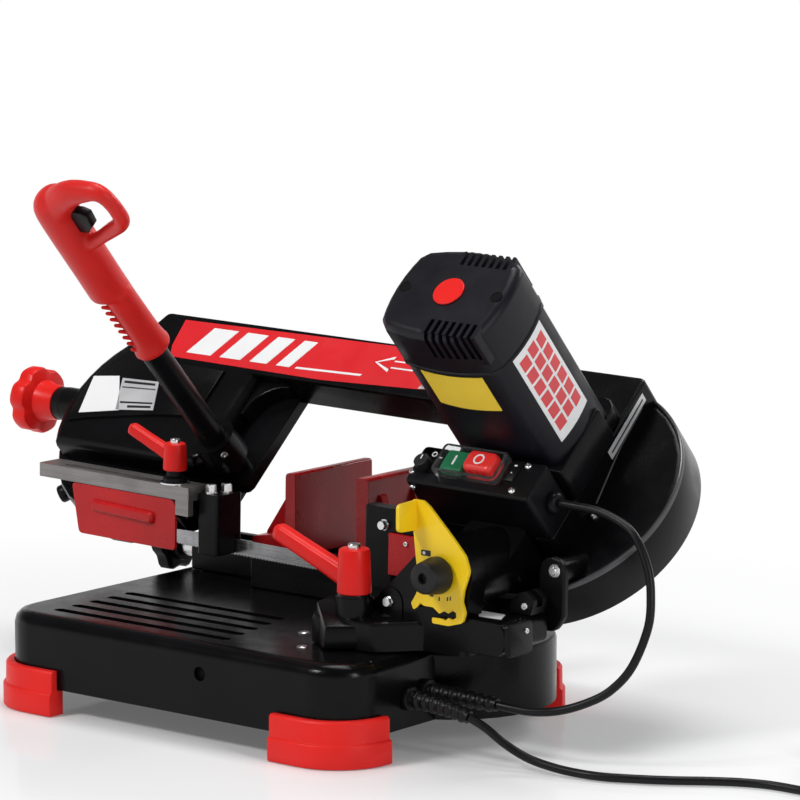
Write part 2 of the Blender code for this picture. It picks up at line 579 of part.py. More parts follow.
def make_wheel(name, frame, x):
    """A spoked cast wheel with a flat rim for the blade."""
    profile = [(8.3, -8), (17, -8), (17, -3), (75, -3), (77, -7), (WHEEL_RADIUS, -7), (WHEEL_RADIUS, 7), (77, 7), (75, 3),
               (17, 3), (17, 8), (8.3, 8)]
    wheel = turned(name, profile, CAST_ALLOY, frame, (x, 0, 0), "Z", 20, hollow=True)
    for k in range(5):
        angle = math.radians(72 * k)
        spot = (x + 46 * math.cos(angle), 46 * math.sin(angle), 0)
        cut(wheel, rod("window", 17, -10, 10, CAST_ALLOY, frame, spot, sides=6))
    return wheel


def make_running_gear(bow):
    drive = add_frame("drive_axis", bow, (0, 0, 0))
    make_wheel("drive_wheel", drive, 0)
    rod("drive_shaft", 8, -8, 38, STEEL, drive, sides=16)
    slide = add_frame("idler_slide_frame", bow, (-WHEEL_SPAN, 0, TENSION_N))
    block("idler_slide", (-WHEEL_SPAN - 30, -20, 27), (-WHEEL_SPAN + 30, 20, 44), CAST_ALLOY, slide, 3)
    rod("idler_axle", 8, -8, 27 - GAP, STEEL, slide, (-WHEEL_SPAN, 0, 0), sides=16)
    idler = add_frame("idler_axis", slide, (-WHEEL_SPAN, 0, 0))
    make_wheel("idler_wheel", idler, -WHEEL_SPAN)
    knob_frame = add_frame("tension_axis", bow, (-525, 0, TENSION_N))
    screw = [(5, -518), (5, -WHEEL_SPAN - 30 - GAP)]
    turned("tension_screw", screw, STEEL, knob_frame, (0, 0, TENSION_N), "X", 14)
    collar = [(5 + GAP, -506), (13.5, -506), (14.5, -497 - GAP), (5 + GAP, -497 - GAP)]
    turned("tension_collar", collar, BLACK_PLASTIC, bow, (0, 0, TENSION_N), "X", 20, hollow=True)
    make_tension_knob(knob_frame)


def make_tension_knob(frame):
    """A six-lobed knob on the tension screw, with a raised hub towards the housing."""
    knob = lobed_knob("tension_knob", 6, 24.5, 3.6, -541, -525, RED_PLASTIC, frame, (0, TENSION_N))
    hub = [(17, -528), (15, -512), (14, -506.5)]
    join(knob, turned("hub", hub, RED_PLASTIC, frame, (0, 0, TENSION_N), "X", 20))
    cut(knob, rod("screw_bore", 5 + GAP, -519, -500, RED_PLASTIC, frame, (0, 0, TENSION_N), "X", 14))


def blade_sections():
    """Centre, width direction and side direction round the blade's loop, twisted upright in the throat."""
    left, right = -WHEEL_SPAN, 0.0
    guide_left, guide_right = -303.0, -105.0
    sections = []
    for k in range(25):
        angle = math.radians(90 + 180 * k / 24)
        sections.append((left + BLADE_RADIUS * math.cos(angle), BLADE_RADIUS * math.sin(angle), 0.0))
    for start, end, first, last in ((left, guide_left, 0, 1), (guide_left, guide_right, 1, 1), (guide_right, right, 1, 0)):
        steps = 8 if first != last else 2
        for k in range(1, steps + 1):
            share = k / steps
            eased = share * share * (3 - 2 * share)
            twist = WHEEL_LEAN * (first + (last - first) * eased)
            sections.append((start + (end - start) * share, -BLADE_RADIUS, twist))
    for k in range(1, 25):
        angle = math.radians(-90 + 180 * k / 24)
        sections.append((right + BLADE_RADIUS * math.cos(angle), BLADE_RADIUS * math.sin(angle), 0.0))
    return sections


def make_blade(bow):
    rings = []
    for x, v, twist in blade_sections():
        lean = math.radians(twist)
        wide = Vector((0, math.sin(lean), math.cos(lean)))
        if -WHEEL_SPAN < x < 0 and v < 0:
            out = Vector((0, -math.cos(lean), math.sin(lean)))
        else:
            hub_x = -WHEEL_SPAN if x < -WHEEL_SPAN / 2 else 0.0
            out = Vector((x - hub_x, v, 0)).normalized()
        centre = Vector((x, v, 0))
        rings.append([tuple(centre + wide * (BLADE_WIDTH / 2 * s) + out * (BLADE_THICK / 2 * t))
                      for s, t in ((-1, -1), (1, -1), (1, 1), (-1, 1))])
    loft("blade", rings, BLADE_STEEL, bow, closed=True)


def guide_slit(name, x0, x1, frame, look):
    """The gap in a guide block that the upright blade runs through."""
    return block(name, (x0, BLADE_PLANE_Y - 0.8, 80), (x1, BLADE_PLANE_Y + 0.8, 112), look, frame)


def make_guides(head):
    right = block("right_guide_block", (66, 16, 97.5), (94, 46, 150), BLACK_IRON, head, 3)
    join(right, block("guide_arm", (66, 16, 130), (122.5, 30, 160), BLACK_IRON, head, 3))
    cut(right, guide_slit("slit", 60, 100, head, BLACK_IRON))
    block("right_guard", (92, 12.5, 110), (122, 15.5, 142), RED_PAINT, head, 1.2)

    guide = add_frame("guide_slide", head, (-104, 22, 145))
    bar = block("guide_bar", (-266, 6, 140), (-104, 30, 151), GREY_STEEL, guide, 1.5)
    join(bar, block("bar_leg", (-117.7, 6, 128), (-104, 12, 141), GREY_STEEL, guide))
    cut(bar, prism("bar_slot", rounded_rect(-244, 12.5, -122, 19.5, 3.5, 4), 130, 160, GREY_STEEL, guide))
    left = block("left_guide_block", (-103.7, 16, 97.5), (-82, 46, 146), BLACK_IRON, guide, 3)
    cut(left, guide_slit("slit", -110, -70, guide, BLACK_IRON))
    outline = rounded_polygon([(-222, 99, 4), (-118, 99, 3), (-118, 139.6, 6), (-230, 139.6, 3)], 3)
    guard = prism("left_guard", outline, 6.5, 9, RED_PAINT, guide, "Y")
    rib = rounded_polygon([(-206, 120, 2), (-140, 117, 3), (-140, 127, 3), (-206, 129, 2)], 2)
    join(guard, prism("guard_rib", rib, 2.5, 8, RED_PAINT, guide, "Y", bottom=2.0, steps=1))
    clamp = add_frame("guide_lever_axis", head, (-127, 16, 151))
    clamp_lever("guide_lever", clamp, (-127, 16), 156, 29, (-171, 12, 192), RED_PLASTIC, 0.85)
    spacer = [(3.2, 151.3), (9.5, 151.3), (9.5, 155.7), (3.2, 155.7)]
    turned("guide_spacer", spacer, BLACK_PLASTIC, head, (-127, 16, 0), "Z", 16, hollow=True)


# Motor, switch and handle

def bowed_side(facing, reach, radius, half, grow):
    """One bowed side of the motor, half long either way from its middle."""
    spread = math.degrees(math.asin(half / radius))
    back = reach - radius
    centre = (MOTOR_X + back * math.cos(math.radians(facing)), MOTOR_V + back * math.sin(math.radians(facing)))
    return arc(centre, radius + grow, facing - spread, facing + spread, 6)


def motor_outline(grow=0.0):
    """Four bowed sides with narrow chamfers between them."""
    outline = []
    for facing in (0, 180):
        outline += bowed_side(facing, MOTOR_HALF_X, 99.0, 30.0, grow)
        outline += bowed_side(facing + 90, MOTOR_HALF_V, 157.0, 39.0, grow)
    return outline


def make_motor(bow):
    flange = rounded_rect(-56, -26, 40, 64, 14, 3)
    prism("gearbox_flange", flange, BEAM_FRONT + GAP, MOTOR_LOW - GAP, BLACK_IRON, bow)
    prism("motor_body", motor_outline(), MOTOR_LOW, MOTOR_SEAM - GAP, BLACK_PLASTIC, bow)
    cap = prism("motor_cap", motor_outline(1.0), MOTOR_SEAM, MOTOR_TOP, BLACK_PLASTIC, bow, top=7.0, steps=3)
    cut(cap, prism("cap_space", motor_outline(-3.0), MOTOR_SEAM - 5, MOTOR_TOP - 6, BLACK_PLASTIC, bow))
    for side, first in ((-1, -7), (1, -12)):
        edge = MOTOR_V + side * (MOTOR_HALF_V - 2.5)
        inner = MOTOR_V + side * (MOTOR_HALF_V - 16)
        low, high = min(edge, inner), max(edge, inner)
        join(cap, block("vent_boss", (first - 5, low, 203), (first + 44, high, MOTOR_TOP), BLACK_PLASTIC, bow, 2))
        for k in range(7):
            slot = first + 6.4 * k
            deep, out = MOTOR_V + side * (MOTOR_HALF_V - 15), edge + side * 6
            cut(cap, block("vent", (slot - 1.7, min(deep, out), 208), (slot + 1.7, max(deep, out), MOTOR_TOP + 5),
                           BLACK_PLASTIC, bow))
    disc = [(12.5, MOTOR_TOP + GAP), (12.5, MOTOR_TOP + 1.2), (11.8, MOTOR_TOP + 1.6)]
    turned("motor_cap_disc", disc, RED_PLASTIC, bow, (MOTOR_X, MOTOR_V, 0), sides=24)


def make_switch(bow):
    face = rounded_rect(-74, -61, 40.5, -26.5, 4, 3)
    box = prism("switch_box", face, BEAM_FRONT + GAP, BOX_TOP, BLACK_PLASTIC, bow, top=1.5, steps=1)
    cut(box, block("switch_well", (-47, -50.5, 84), (6, -29, 110), BLACK_PLASTIC, bow))
    cut(box, rod("dial_well", 7, 90, 110, BLACK_PLASTIC, bow, (-64.5, -44, 0), sides=16))
    hood = prism("switch_frame", rounded_rect(-50, -53, 9, -27, 3, 2), BOX_TOP + GAP, BOX_TOP + 8, CLEAR, bow)
    cut(hood, prism("hood_space", rounded_rect(-47.5, -50.5, 6.5, -29.2, 1.5, 2), BOX_TOP - 5, BOX_TOP + 15, CLEAR, bow))
    for name, x0, x1, top, ease, look in (("start_button", -45.5, -25, 104, 1.5, GREEN),
                                          ("stop_button", -23, 4, 110, 4.0, RED_PLASTIC)):
        press = add_frame(name + "_axis", bow, ((x0 + x1) / 2, -40, BOX_TOP))
        prism(name, rounded_rect(x0, -49, x1, -30.5, ease + 1, 3), 88, top, look, press, top=ease, steps=2)
    dial_axis = add_frame("speed_dial_axis", bow, (-64.5, -44, BOX_TOP))
    dial = [(6.6, 92), (6.6, 99), (6.0, 104), (5.4, 104.6)]
    piece = turned("speed_dial", dial, BLACK_PLASTIC, dial_axis, (-64.5, -44, 0), sides=18)
    cut(piece, block("dial_mark", (-65, -40.5, 103.4), (-64, -36, 106), BLACK_PLASTIC, dial_axis))
    gland = [(8.5, 40.8), (8.5, 44), (7.2, 46), (5, 47)]
    turned("cable_gland", gland, BLACK_PLASTIC, bow, (0, -42, 72), "X", 16)


def grip_sections():
    """Height, middle and half widths of the grip, from its flared collar to its head."""
    return ((181, -299, 16, 16), (184, -298, 18, 17.5), (191, -298.5, 18, 17), (202, -300, 15.5, 15.5),
            (240, -301, 15, 15.5), (280, -301.5, 16, 15.5), (306, -300.5, 18, 15), (330, -298.5, 19.5, 14.5),
            (345, -296, 19, 13), (355, -291, 15, 10), (360, -287, 9, 6))


def make_handle(bow):
    rod("handle_tube", TUBE_RADIUS, HOUSING_FRONT + 1, TUBE_END, BLACK_IRON, bow, (HANDLE_X, HANDLE_V, 0))
    rings = []
    for height, middle, half_x, half_v in grip_sections():
        ring = []
        for k in range(14):
            angle = 2 * math.pi * (k + 0.25) / 14
            ring.append((middle + half_x * math.cos(angle), HANDLE_V + half_v * math.sin(angle), height))
        rings.append(ring)
    grip = loft("handle_grip", rings, RED_PLASTIC, bow)
    guard = rounded_polygon([(-300, 303, 0), (-286, 300, 0), (-262, 308, 12), (-236, 320, 10), (-219, 338, 9), (-228, 356, 9),
                             (-246, 362, 14), (-275, 361, 0), (-300, 355, 0)], 4)
    opening = rounded_polygon([(-268, 311, 2), (-258, 315, 5), (-240, 324, 7), (-232, 342, 7), (-242, 354, 6), (-268, 353, 3)], 3)
    join(grip, prism("guard", guard, HANDLE_V - 6.5, HANDLE_V + 6.5, RED_PLASTIC, bow, "Y", top=4.0, bottom=4.0))
    cut(grip, prism("opening", opening, HANDLE_V - 30, HANDLE_V + 30, RED_PLASTIC, bow, "Y"))
    cut(grip, block("trigger_well", (-298, HANDLE_V - 6.5, 314), (-262, HANDLE_V + 6.5, 349), RED_PLASTIC, bow))
    slant = add_frame("notch_slant", bow, (0, HANDLE_V, 0), (-50, 0, 0))
    for k in range(8):
        notch = 114 + 4.75 * k
        cut(grip, block("grip_notch", (-325, HANDLE_V - 220, notch), (-304, HANDLE_V - 80, notch + 2.6), RED_PLASTIC, slant))
    pull = add_frame("trigger_axis", bow, (-280, HANDLE_V, 330))
    outline = rounded_polygon([(-292, 317, 2), (-262, 317, 2), (-254, 324, 3), (-254, 345, 2), (-292, 346, 2)], 3)
    prism("trigger", outline, HANDLE_V - 6, HANDLE_V + 6, BLACK_PLASTIC, pull, "Y", top=1.5, bottom=1.5, steps=1)


def make_bracket(head):
    outline = rounded_polygon([(263.5, 147.5, 11), (240.5, 147.5, 11), (240.5, 110, 6), (228, 101, 3), (228, 92, 4),
                               (256, 92, 10), (263.5, 104, 8)], 3)
    prism("spring_bracket", outline, 4, 9.7, BLACK_IRON, head, "Y", bottom=1.0, steps=1)


# Cords

def strain_relief(name, start, bend, end, frame):
    """A ribbed sleeve, square to the base's side face at its foot and bent over to meet its cord."""
    first, middle, last = Vector(start), Vector(bend), Vector(end)
    profile = [(0.0, 9.0), (0.07, 9.0), (0.08, 7.0)]
    ribs = 7
    for k in range(ribs):
        reach = 0.12 + 0.123 * k
        profile += [(reach, 7.3 - 0.2 * k), (reach + 0.075, 7.1 - 0.2 * k), (reach + 0.1, 5.8 - 0.15 * k)]
    profile.append((1.0, 5.0))
    rings = []
    for share, radius in profile:
        spot = first * (1 - share) ** 2 + middle * (2 * share * (1 - share)) + last * share ** 2
        ahead = ((middle - first) * (1 - share) + (last - middle) * share).normalized()
        side = ahead.cross(Vector((0, 0, 1))).normalized()
        over = side.cross(ahead)
        rings.append([tuple(spot + side * u + over * v) for u, v in circle((0, 0), radius, 10)])
    return loft(name, rings, CABLE, frame)


def head_cable_route():
    """From the switch box's gland down in a free loop to the base's right face."""
    return [(248.0, 19.9, 183.2), (256, 20, 183), (281.5, 20, 181.5), (305.2, 18, 175), (319.5, 16, 165),
            (331, 13, 146), (336.6, 9, 127.7), (337.8, 4, 105), (329.7, -4, 76.7), (316.9, -12, 59.2),
            (301.5, -19, 49.2), (282.9, -27, 42.2), (265, -34.5, 40), (248.3, -38.6, 40.9), (236.5, -39.94, 41.76)]


def mains_route():
    """From the base's right face down to the bench and along it to the coil."""
    return [(227, -60.94, 35.05), (240, -58.6, 28.8), (254.5, -54.9, 18.6), (271.5, -50.5, 10), (289.4, -47.5, 6),
            (307.8, -44.5, 4), (330.1, -40, CORD_FLOOR), (354.9, -29.1, CORD_FLOOR), (375.5, -17.4, CORD_FLOOR),
            (394.9, -4, CORD_FLOOR), (414.9, 7.5, CORD_FLOOR), (436, 14.4, CORD_FLOOR), (460.4, 15.4, CORD_FLOOR),
            (476, 13.6, 3.9), (COIL_CENTRE[0] - 16.3, COIL_CENTRE[1] - COIL_OUTER, COIL_LOW)]


def coil_route():
    """Three turns spiralling in on the bench, then three spiralling out on top of them."""
    middle_x, middle_y = COIL_CENTRE
    per_turn = 18
    climb = COIL_PITCH
    points = [(middle_x - 16, middle_y - COIL_OUTER, COIL_LOW), (middle_x - 8, middle_y - COIL_OUTER, COIL_LOW)]
    wound = COIL_TURNS * per_turn
    half = per_turn // 2
    for k in range(2 * wound + half + 1):
        angle = math.radians(-90 + 360 * k / per_turn)
        if k <= wound:
            radius, rise = COIL_OUTER - COIL_PITCH * k / per_turn, 0.0
        elif k <= wound + half:
            share = (k - wound) / half
            dip = COIL_PITCH * min(k - wound, wound + half - k) / per_turn
            radius, rise = COIL_OUTER - COIL_PITCH * COIL_TURNS - dip, climb * share * share * (3 - 2 * share)
        else:
            radius, rise = COIL_OUTER - COIL_PITCH * (COIL_TURNS - (k - wound - half) / per_turn), climb
        points.append((middle_x + radius * math.cos(angle), middle_y + radius * math.sin(angle), COIL_LOW + rise))
    last = points[-1]
    points += [(last[0] - 8, last[1], last[2]), (last[0] - 24, last[1] + 1, last[2] + 0.6)]
    return points


def least_self_gap(points, diameter, apart):
    """The least gap between stretches of a tube that lie further apart along it than apart points."""
    least = 1e9
    for i in range(len(points) - 1):
        for j in range(i + apart, len(points) - 1):
            for share in (0.0, 0.5):
                first = Vector(points[i]).lerp(Vector(points[i + 1]), share)
                for other in (0.0, 0.5):
                    second = Vector(points[j]).lerp(Vector(points[j + 1]), other)
                    least = min(least, (first - second).length)
    return least - diameter


def make_cords(saw):
    strain_relief("cable_relief", (BASE_RIGHT + GAP, -43.5, 44), (205, -43.5, 44), (236, -40, 41.8), saw)
    strain_relief("mains_relief", (BASE_RIGHT + GAP, -63.5, 42), (204, -63.5, 42), (226.5, -61, 35.2), saw)
    route = smooth_route(head_cable_route(), 12)
    middle = len(route) // 2
    cord_tube("head_cable_upper", route[:middle + 1], CORD, CABLE, saw)
    lower = route[middle:]
    step = (Vector(lower[1]) - Vector(lower[0])).normalized() * (3 * GAP)
    lower[0] = tuple(Vector(lower[0]) + step)
    cord_tube("head_cable_lower", lower, CORD, CABLE, saw)
    cord_tube("mains_lead", smooth_route(mains_route(), 16), CORD, CABLE, saw)
    coil = coil_route()
    print("mains_coil least gap to itself, mm:", round(least_self_gap(coil, CORD, 8), 2))
    cord_tube("mains_coil", coil, CORD, CABLE, saw, 1)
    make_tie(saw)
    make_plug(saw, coil[-1])


def make_tie(saw):
    """A strap round the coil's bundle, on the side away from the lead."""
    inner, outer = COIL_OUTER - COIL_PITCH * COIL_TURNS, COIL_OUTER
    middle_x, middle_y = COIL_CENTRE
    low, high = 0.05, COIL_LOW + COIL_PITCH + CORD / 2 + 1.4
    outside = rounded_rect(middle_x + inner - 9.0, low, middle_x + outer + 6.0, high, 5, 3)
    strap = prism("coil_tie", outside, middle_y - 7, middle_y + 7, CABLE, saw, "Y")
    space = rounded_rect(middle_x + inner - 8.0, low + 1.0, middle_x + outer + 5.0, high - 1.0, 4, 3)
    cut(strap, prism("strap_space", space, middle_y - 20, middle_y + 20, CABLE, saw, "Y"))


def make_plug(saw, cord_end):
    """A round two-pin plug lying beside the coil, with a ribbed neck and a flat-sided body."""
    x0, y0, z0 = cord_end
    axis_z = 19.0
    profile = [(0, 5.4, 0.0), (4, 6.2, 0.05), (16, 8.5, 0.35), (26, 13.0, 0.75), (32, 18.0, 1.0), (50, 18.5, 1.0), (52, 17.5, 1.0)]
    rings = []
    for reach, radius, rise in profile:
        middle = (x0 - GAP - reach, y0 + reach * 0.06, z0 + (axis_z - z0) * rise)
        rings.append([(middle[0], middle[1] + u, middle[2] + v) for u, v in circle((0, 0), radius, 20)])
    plug = loft("plug", rings, BLACK_PLASTIC, saw)
    for side in (-9.5, 9.5):
        pin = [(2.4, x0 - GAP - 70), (2.4, x0 - GAP - 50)]
        join(plug, turned("pin", pin, STEEL, saw, (0, y0 + 3.1 + side, axis_z), "X", 10))


def clear_scene():
    for piece in list(bpy.data.objects):
        bpy.data.objects.remove(piece)


def main():
    clear_scene()
    root = add_frame("saw", None, (-ORIGIN_X, -ORIGIN_Y, 0))
    saw = Frame(root.empty, (0, 0, 0))
    swivel = add_frame("swivel", saw, (*PIVOT, 0))
    head = add_frame("head", swivel, (HINGE[0], 0, HINGE[1]), (0, HEAD_LIFT, 0))
    bow_seat = add_frame("bow", head, DRIVE_CENTRE, (WHEEL_LEAN, 0, 0))
    bow = Frame(bow_seat.empty, (0, 0, 0))

    make_base(saw)
    make_feet(saw)
    make_vise(saw)
    make_swivel_arm(swivel)
    make_mitre_pieces(saw, swivel)
    lever = add_frame("mitre_lever_axis", swivel, (122, -64, 112))
    clamp_lever("mitre_lever", lever, (122, -64), 112.3, 35, (46, -62, 150), RED_PLASTIC)
    make_selector(swivel)
    make_bow(head, bow)
    make_running_gear(bow)
    make_blade(bow)
    make_guides(head)
    make_motor(bow)
    make_switch(bow)
    make_handle(bow)
    make_bracket(head)
    make_cords(saw)


main()
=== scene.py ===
"""Looks of a horizontal band saw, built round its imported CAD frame."""
import math

import bmesh
import bpy
from mathutils import Matrix, Vector


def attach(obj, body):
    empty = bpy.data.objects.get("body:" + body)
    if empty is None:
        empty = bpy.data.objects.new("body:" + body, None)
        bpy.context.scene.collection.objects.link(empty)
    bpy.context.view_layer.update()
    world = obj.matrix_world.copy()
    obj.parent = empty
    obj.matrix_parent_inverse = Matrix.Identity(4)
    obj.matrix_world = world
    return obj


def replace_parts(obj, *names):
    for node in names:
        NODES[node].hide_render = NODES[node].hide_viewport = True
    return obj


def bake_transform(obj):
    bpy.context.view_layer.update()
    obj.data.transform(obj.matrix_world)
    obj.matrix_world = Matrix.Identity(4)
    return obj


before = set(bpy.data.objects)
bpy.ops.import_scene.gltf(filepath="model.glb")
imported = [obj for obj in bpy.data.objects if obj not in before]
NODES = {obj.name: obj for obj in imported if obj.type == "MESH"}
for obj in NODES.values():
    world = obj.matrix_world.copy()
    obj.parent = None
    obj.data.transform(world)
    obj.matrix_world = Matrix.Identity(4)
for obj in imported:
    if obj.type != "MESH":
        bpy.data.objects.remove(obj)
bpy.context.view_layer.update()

# Layouts of the CAD source, in millimetres: the saw's own, the head's and the bow's (x, v, n)
ORIGIN = Vector((-20.34, 4.19, 0.0))
HINGE = Vector((196.0, 0.0, 136.0))
DRIVE_CENTRE = Vector((199.0, 100.0, 160.0))
HEAD_LIFT = math.radians(1.3)
WHEEL_LEAN = math.radians(43.0)
SAW = Matrix.Scale(0.001, 4) @ Matrix.Translation(-ORIGIN)
HEAD = SAW @ Matrix.Translation(HINGE) @ Matrix.Rotation(HEAD_LIFT, 4, "Y") @ Matrix.Translation(-HINGE)
BOW = HEAD @ Matrix.Translation(DRIVE_CENTRE) @ Matrix.Rotation(WHEEL_LEAN, 4, "X")
UP, DOWN, FRONT, BACK = (0, 0, 1), (0, 0, -1), (0, -1, 0), (0, 1, 0)
LEFT, RIGHT = (-1, 0, 0), (1, 0, 0)

WHEEL_SPAN, BLADE_RADIUS, IDLER_RIM, RIM_RADIUS = 403.0, 84.4, 94.0, 101.0
BLADE_WIDTH, BLADE_THICK = 13.0, 0.65
BEAM_FRONT, HOUSING_FRONT, DISH_FRONT, RIM_BACK, COVER_BACK = 52.0, 51.0, 28.0, -9.0, -11.5
HOUSING_X, HOUSING_ROUND = -391.0, 84.0
MOUNT_SIDE = 41.0
MOTOR_X, MOTOR_V, MOTOR_TOP = -8.0, 17.0, 232.0
MOTOR_BOWS = {0: (50.0, 99.0), 90: (41.0, 157.0)}
BOX_TOP, BOX_SIDE = 98.0, -61.0
TENSION_N = 36.0
MITRE_STUD, GUIDE_STUD = (122, -64), (-127, 16)
CORD = 6.4


# Materials

class Graph:
    """The node tree of a material or world under construction, with its first shader."""

    def __init__(self, owner, shader="Principled BSDF"):
        owner.use_nodes = True
        self.owner = owner
        self.tree = owner.node_tree
        self.shader = self.tree.nodes[shader]
        self.spots = self.add("ShaderNodeTexCoord").outputs
        self.coords = self.spots["Object"]

    def add(self, kind, inputs=None, **settings):
        node = self.tree.nodes.new(kind)
        for key, value in settings.items():
            setattr(node, key, value)
        for key, value in (inputs or {}).items():
            node.inputs[key].default_value = value
        return node

    def link(self, source, target):
        self.tree.links.new(source, target)

    def noise(self, scale, detail=3.0, stretch=None):
        """A noise over the part's own metres, optionally squeezed along its axes."""
        coords = self.coords
        if stretch:
            mapping = self.add("ShaderNodeMapping", {"Scale": stretch})
            self.link(coords, mapping.inputs["Vector"])
            coords = mapping.outputs["Vector"]
        node = self.add("ShaderNodeTexNoise", {"Scale": scale, "Detail": detail})
        self.link(coords, node.inputs["Vector"])
        return node.outputs["Fac"]

    def spread(self, value, low, high, source=(0.3, 0.7)):
        node = self.add("ShaderNodeMapRange", {"From Min": source[0], "From Max": source[1],
                                               "To Min": low, "To Max": high})
        self.link(value, node.inputs["Value"])
        return node.outputs["Result"]

    def math(self, operation, first, second):
        node = self.add("ShaderNodeMath", operation=operation)
        self.link(first, node.inputs[0])
        self.link(second, node.inputs[1])
        return node.outputs[0]

    def blend(self, share, first, second):
        """Mixes two colours, or a colour and a socket, by a share."""
        node = self.add("ShaderNodeMix", data_type="RGBA")
        self.link(share, node.inputs["Factor"])
        for key, value in (("A", first), ("B", second)):
            socket = [s for s in node.inputs if s.name == key and s.type == "RGBA"][0]
            if isinstance(value, tuple):
                socket.default_value = (*value, 1.0)
            else:
                self.link(value, socket)
        return [s for s in node.outputs if s.type == "RGBA"][0]

    def mix(self, share, first, second):
        """Mixes two shaders by a share."""
        node = self.add("ShaderNodeMixShader")
        for k, source in enumerate((share, first, second)):
            self.link(source, node.inputs[k])
        return node.outputs[0]

    def bumps(self, heights):
        """Chains bump nodes for (height, strength, distance in metres)."""
        normal = None
        for height, strength, distance in heights:
            node = self.add("ShaderNodeBump", {"Strength": strength, "Distance": distance})
            self.link(height, node.inputs["Height"])
            if normal:
                self.link(normal, node.inputs["Normal"])
            normal = node.outputs["Normal"]
        self.link(normal, self.shader.inputs["Normal"])

    def filings(self):
        """A share that picks sparse specks of swarf on faces that look up."""
        specks = self.spread(self.noise(330.0, 2.0), 0.0, 1.0, (0.77, 0.79))
        patches = self.spread(self.noise(9.0, 2.0), 0.0, 1.0, (0.5, 0.6))
        axes = self.add("ShaderNodeSeparateXYZ")
        self.link(self.add("ShaderNodeNewGeometry").outputs["Normal"], axes.inputs[0])
        level = self.spread(axes.outputs["Z"], 0.0, 1.0, (0.9, 0.95))
        return self.math("MULTIPLY", self.math("MULTIPLY", level, specks), patches)

    def seen(self):
        """One for the rays that show a background: camera, glossy and transmitted ones."""
        paths = self.add("ShaderNodeLightPath").outputs
        share = paths["Is Camera Ray"]
        for kind in ("Is Glossy Ray", "Is Transmission Ray"):
            share = self.math("MAXIMUM", share, paths[kind])
        return share

    def set(self, **values):
        for key, value in values.items():
            self.shader.inputs[key.replace("_", " ")].default_value = value


def scaled(colour, share):
    return tuple(min(1.0, c * share) for c in colour)


def surface(name, colour, rough, grain, depth=0.0002, metal=0.0, vary=0.15, swing=0.06, gloss=0.5,
            chips=False):
    """A coated, moulded or bare surface: mottled colour, uneven gloss and a fine grain."""
    g = Graph(bpy.data.materials.new(name))
    broad = g.noise(22.0, 4.0)
    tone = g.blend(g.spread(broad, 0.0, 1.0), scaled(colour, 1 - vary), scaled(colour, 1 + vary))
    if chips:
        tone = g.blend(g.filings(), tone, (0.4, 0.4, 0.4))
    g.link(tone, g.shader.inputs["Base Color"])
    fine = g.noise(grain, 2.0)
    patch = g.noise(55.0, 5.0)
    g.link(g.spread(patch, rough - swing, rough + swing), g.shader.inputs["Roughness"])
    g.bumps([(fine, 0.3, depth), (patch, 0.1, 0.0003)])
    g.set(Metallic=metal, Specular_IOR_Level=gloss)
    return g.owner


def brushed(name, colour, rough, metal=1.0):
    """Worked steel: fine lines along x, and faint scuffs across them."""
    g = Graph(bpy.data.materials.new(name))
    lines = g.noise(1.0, 5.0, (14.0, 900.0, 900.0))
    cloud = g.noise(30.0, 4.0)
    tone = g.blend(g.spread(lines, 0.0, 1.0), scaled(colour, 0.78), scaled(colour, 1.2))
    stained = g.blend(g.spread(cloud, 0.0, 0.55, (0.5, 0.75)), tone, scaled(colour, 0.6))
    g.link(stained, g.shader.inputs["Base Color"])
    g.link(g.spread(lines, rough - 0.08, rough + 0.1), g.shader.inputs["Roughness"])
    g.bumps([(lines, 0.25, 0.0002)])
    g.set(Metallic=metal)
    return g.owner


def clear_cover(name):
    """A thin clear flap, faintly grey, with soft unevenness."""
    g = Graph(bpy.data.materials.new(name))
    g.bumps([(g.noise(90.0, 2.0), 0.1, 0.0004)])
    g.set(Base_Color=(0.8, 0.82, 0.82, 1.0), Roughness=0.05, IOR=1.12, Transmission_Weight=0.97)
    return g.owner


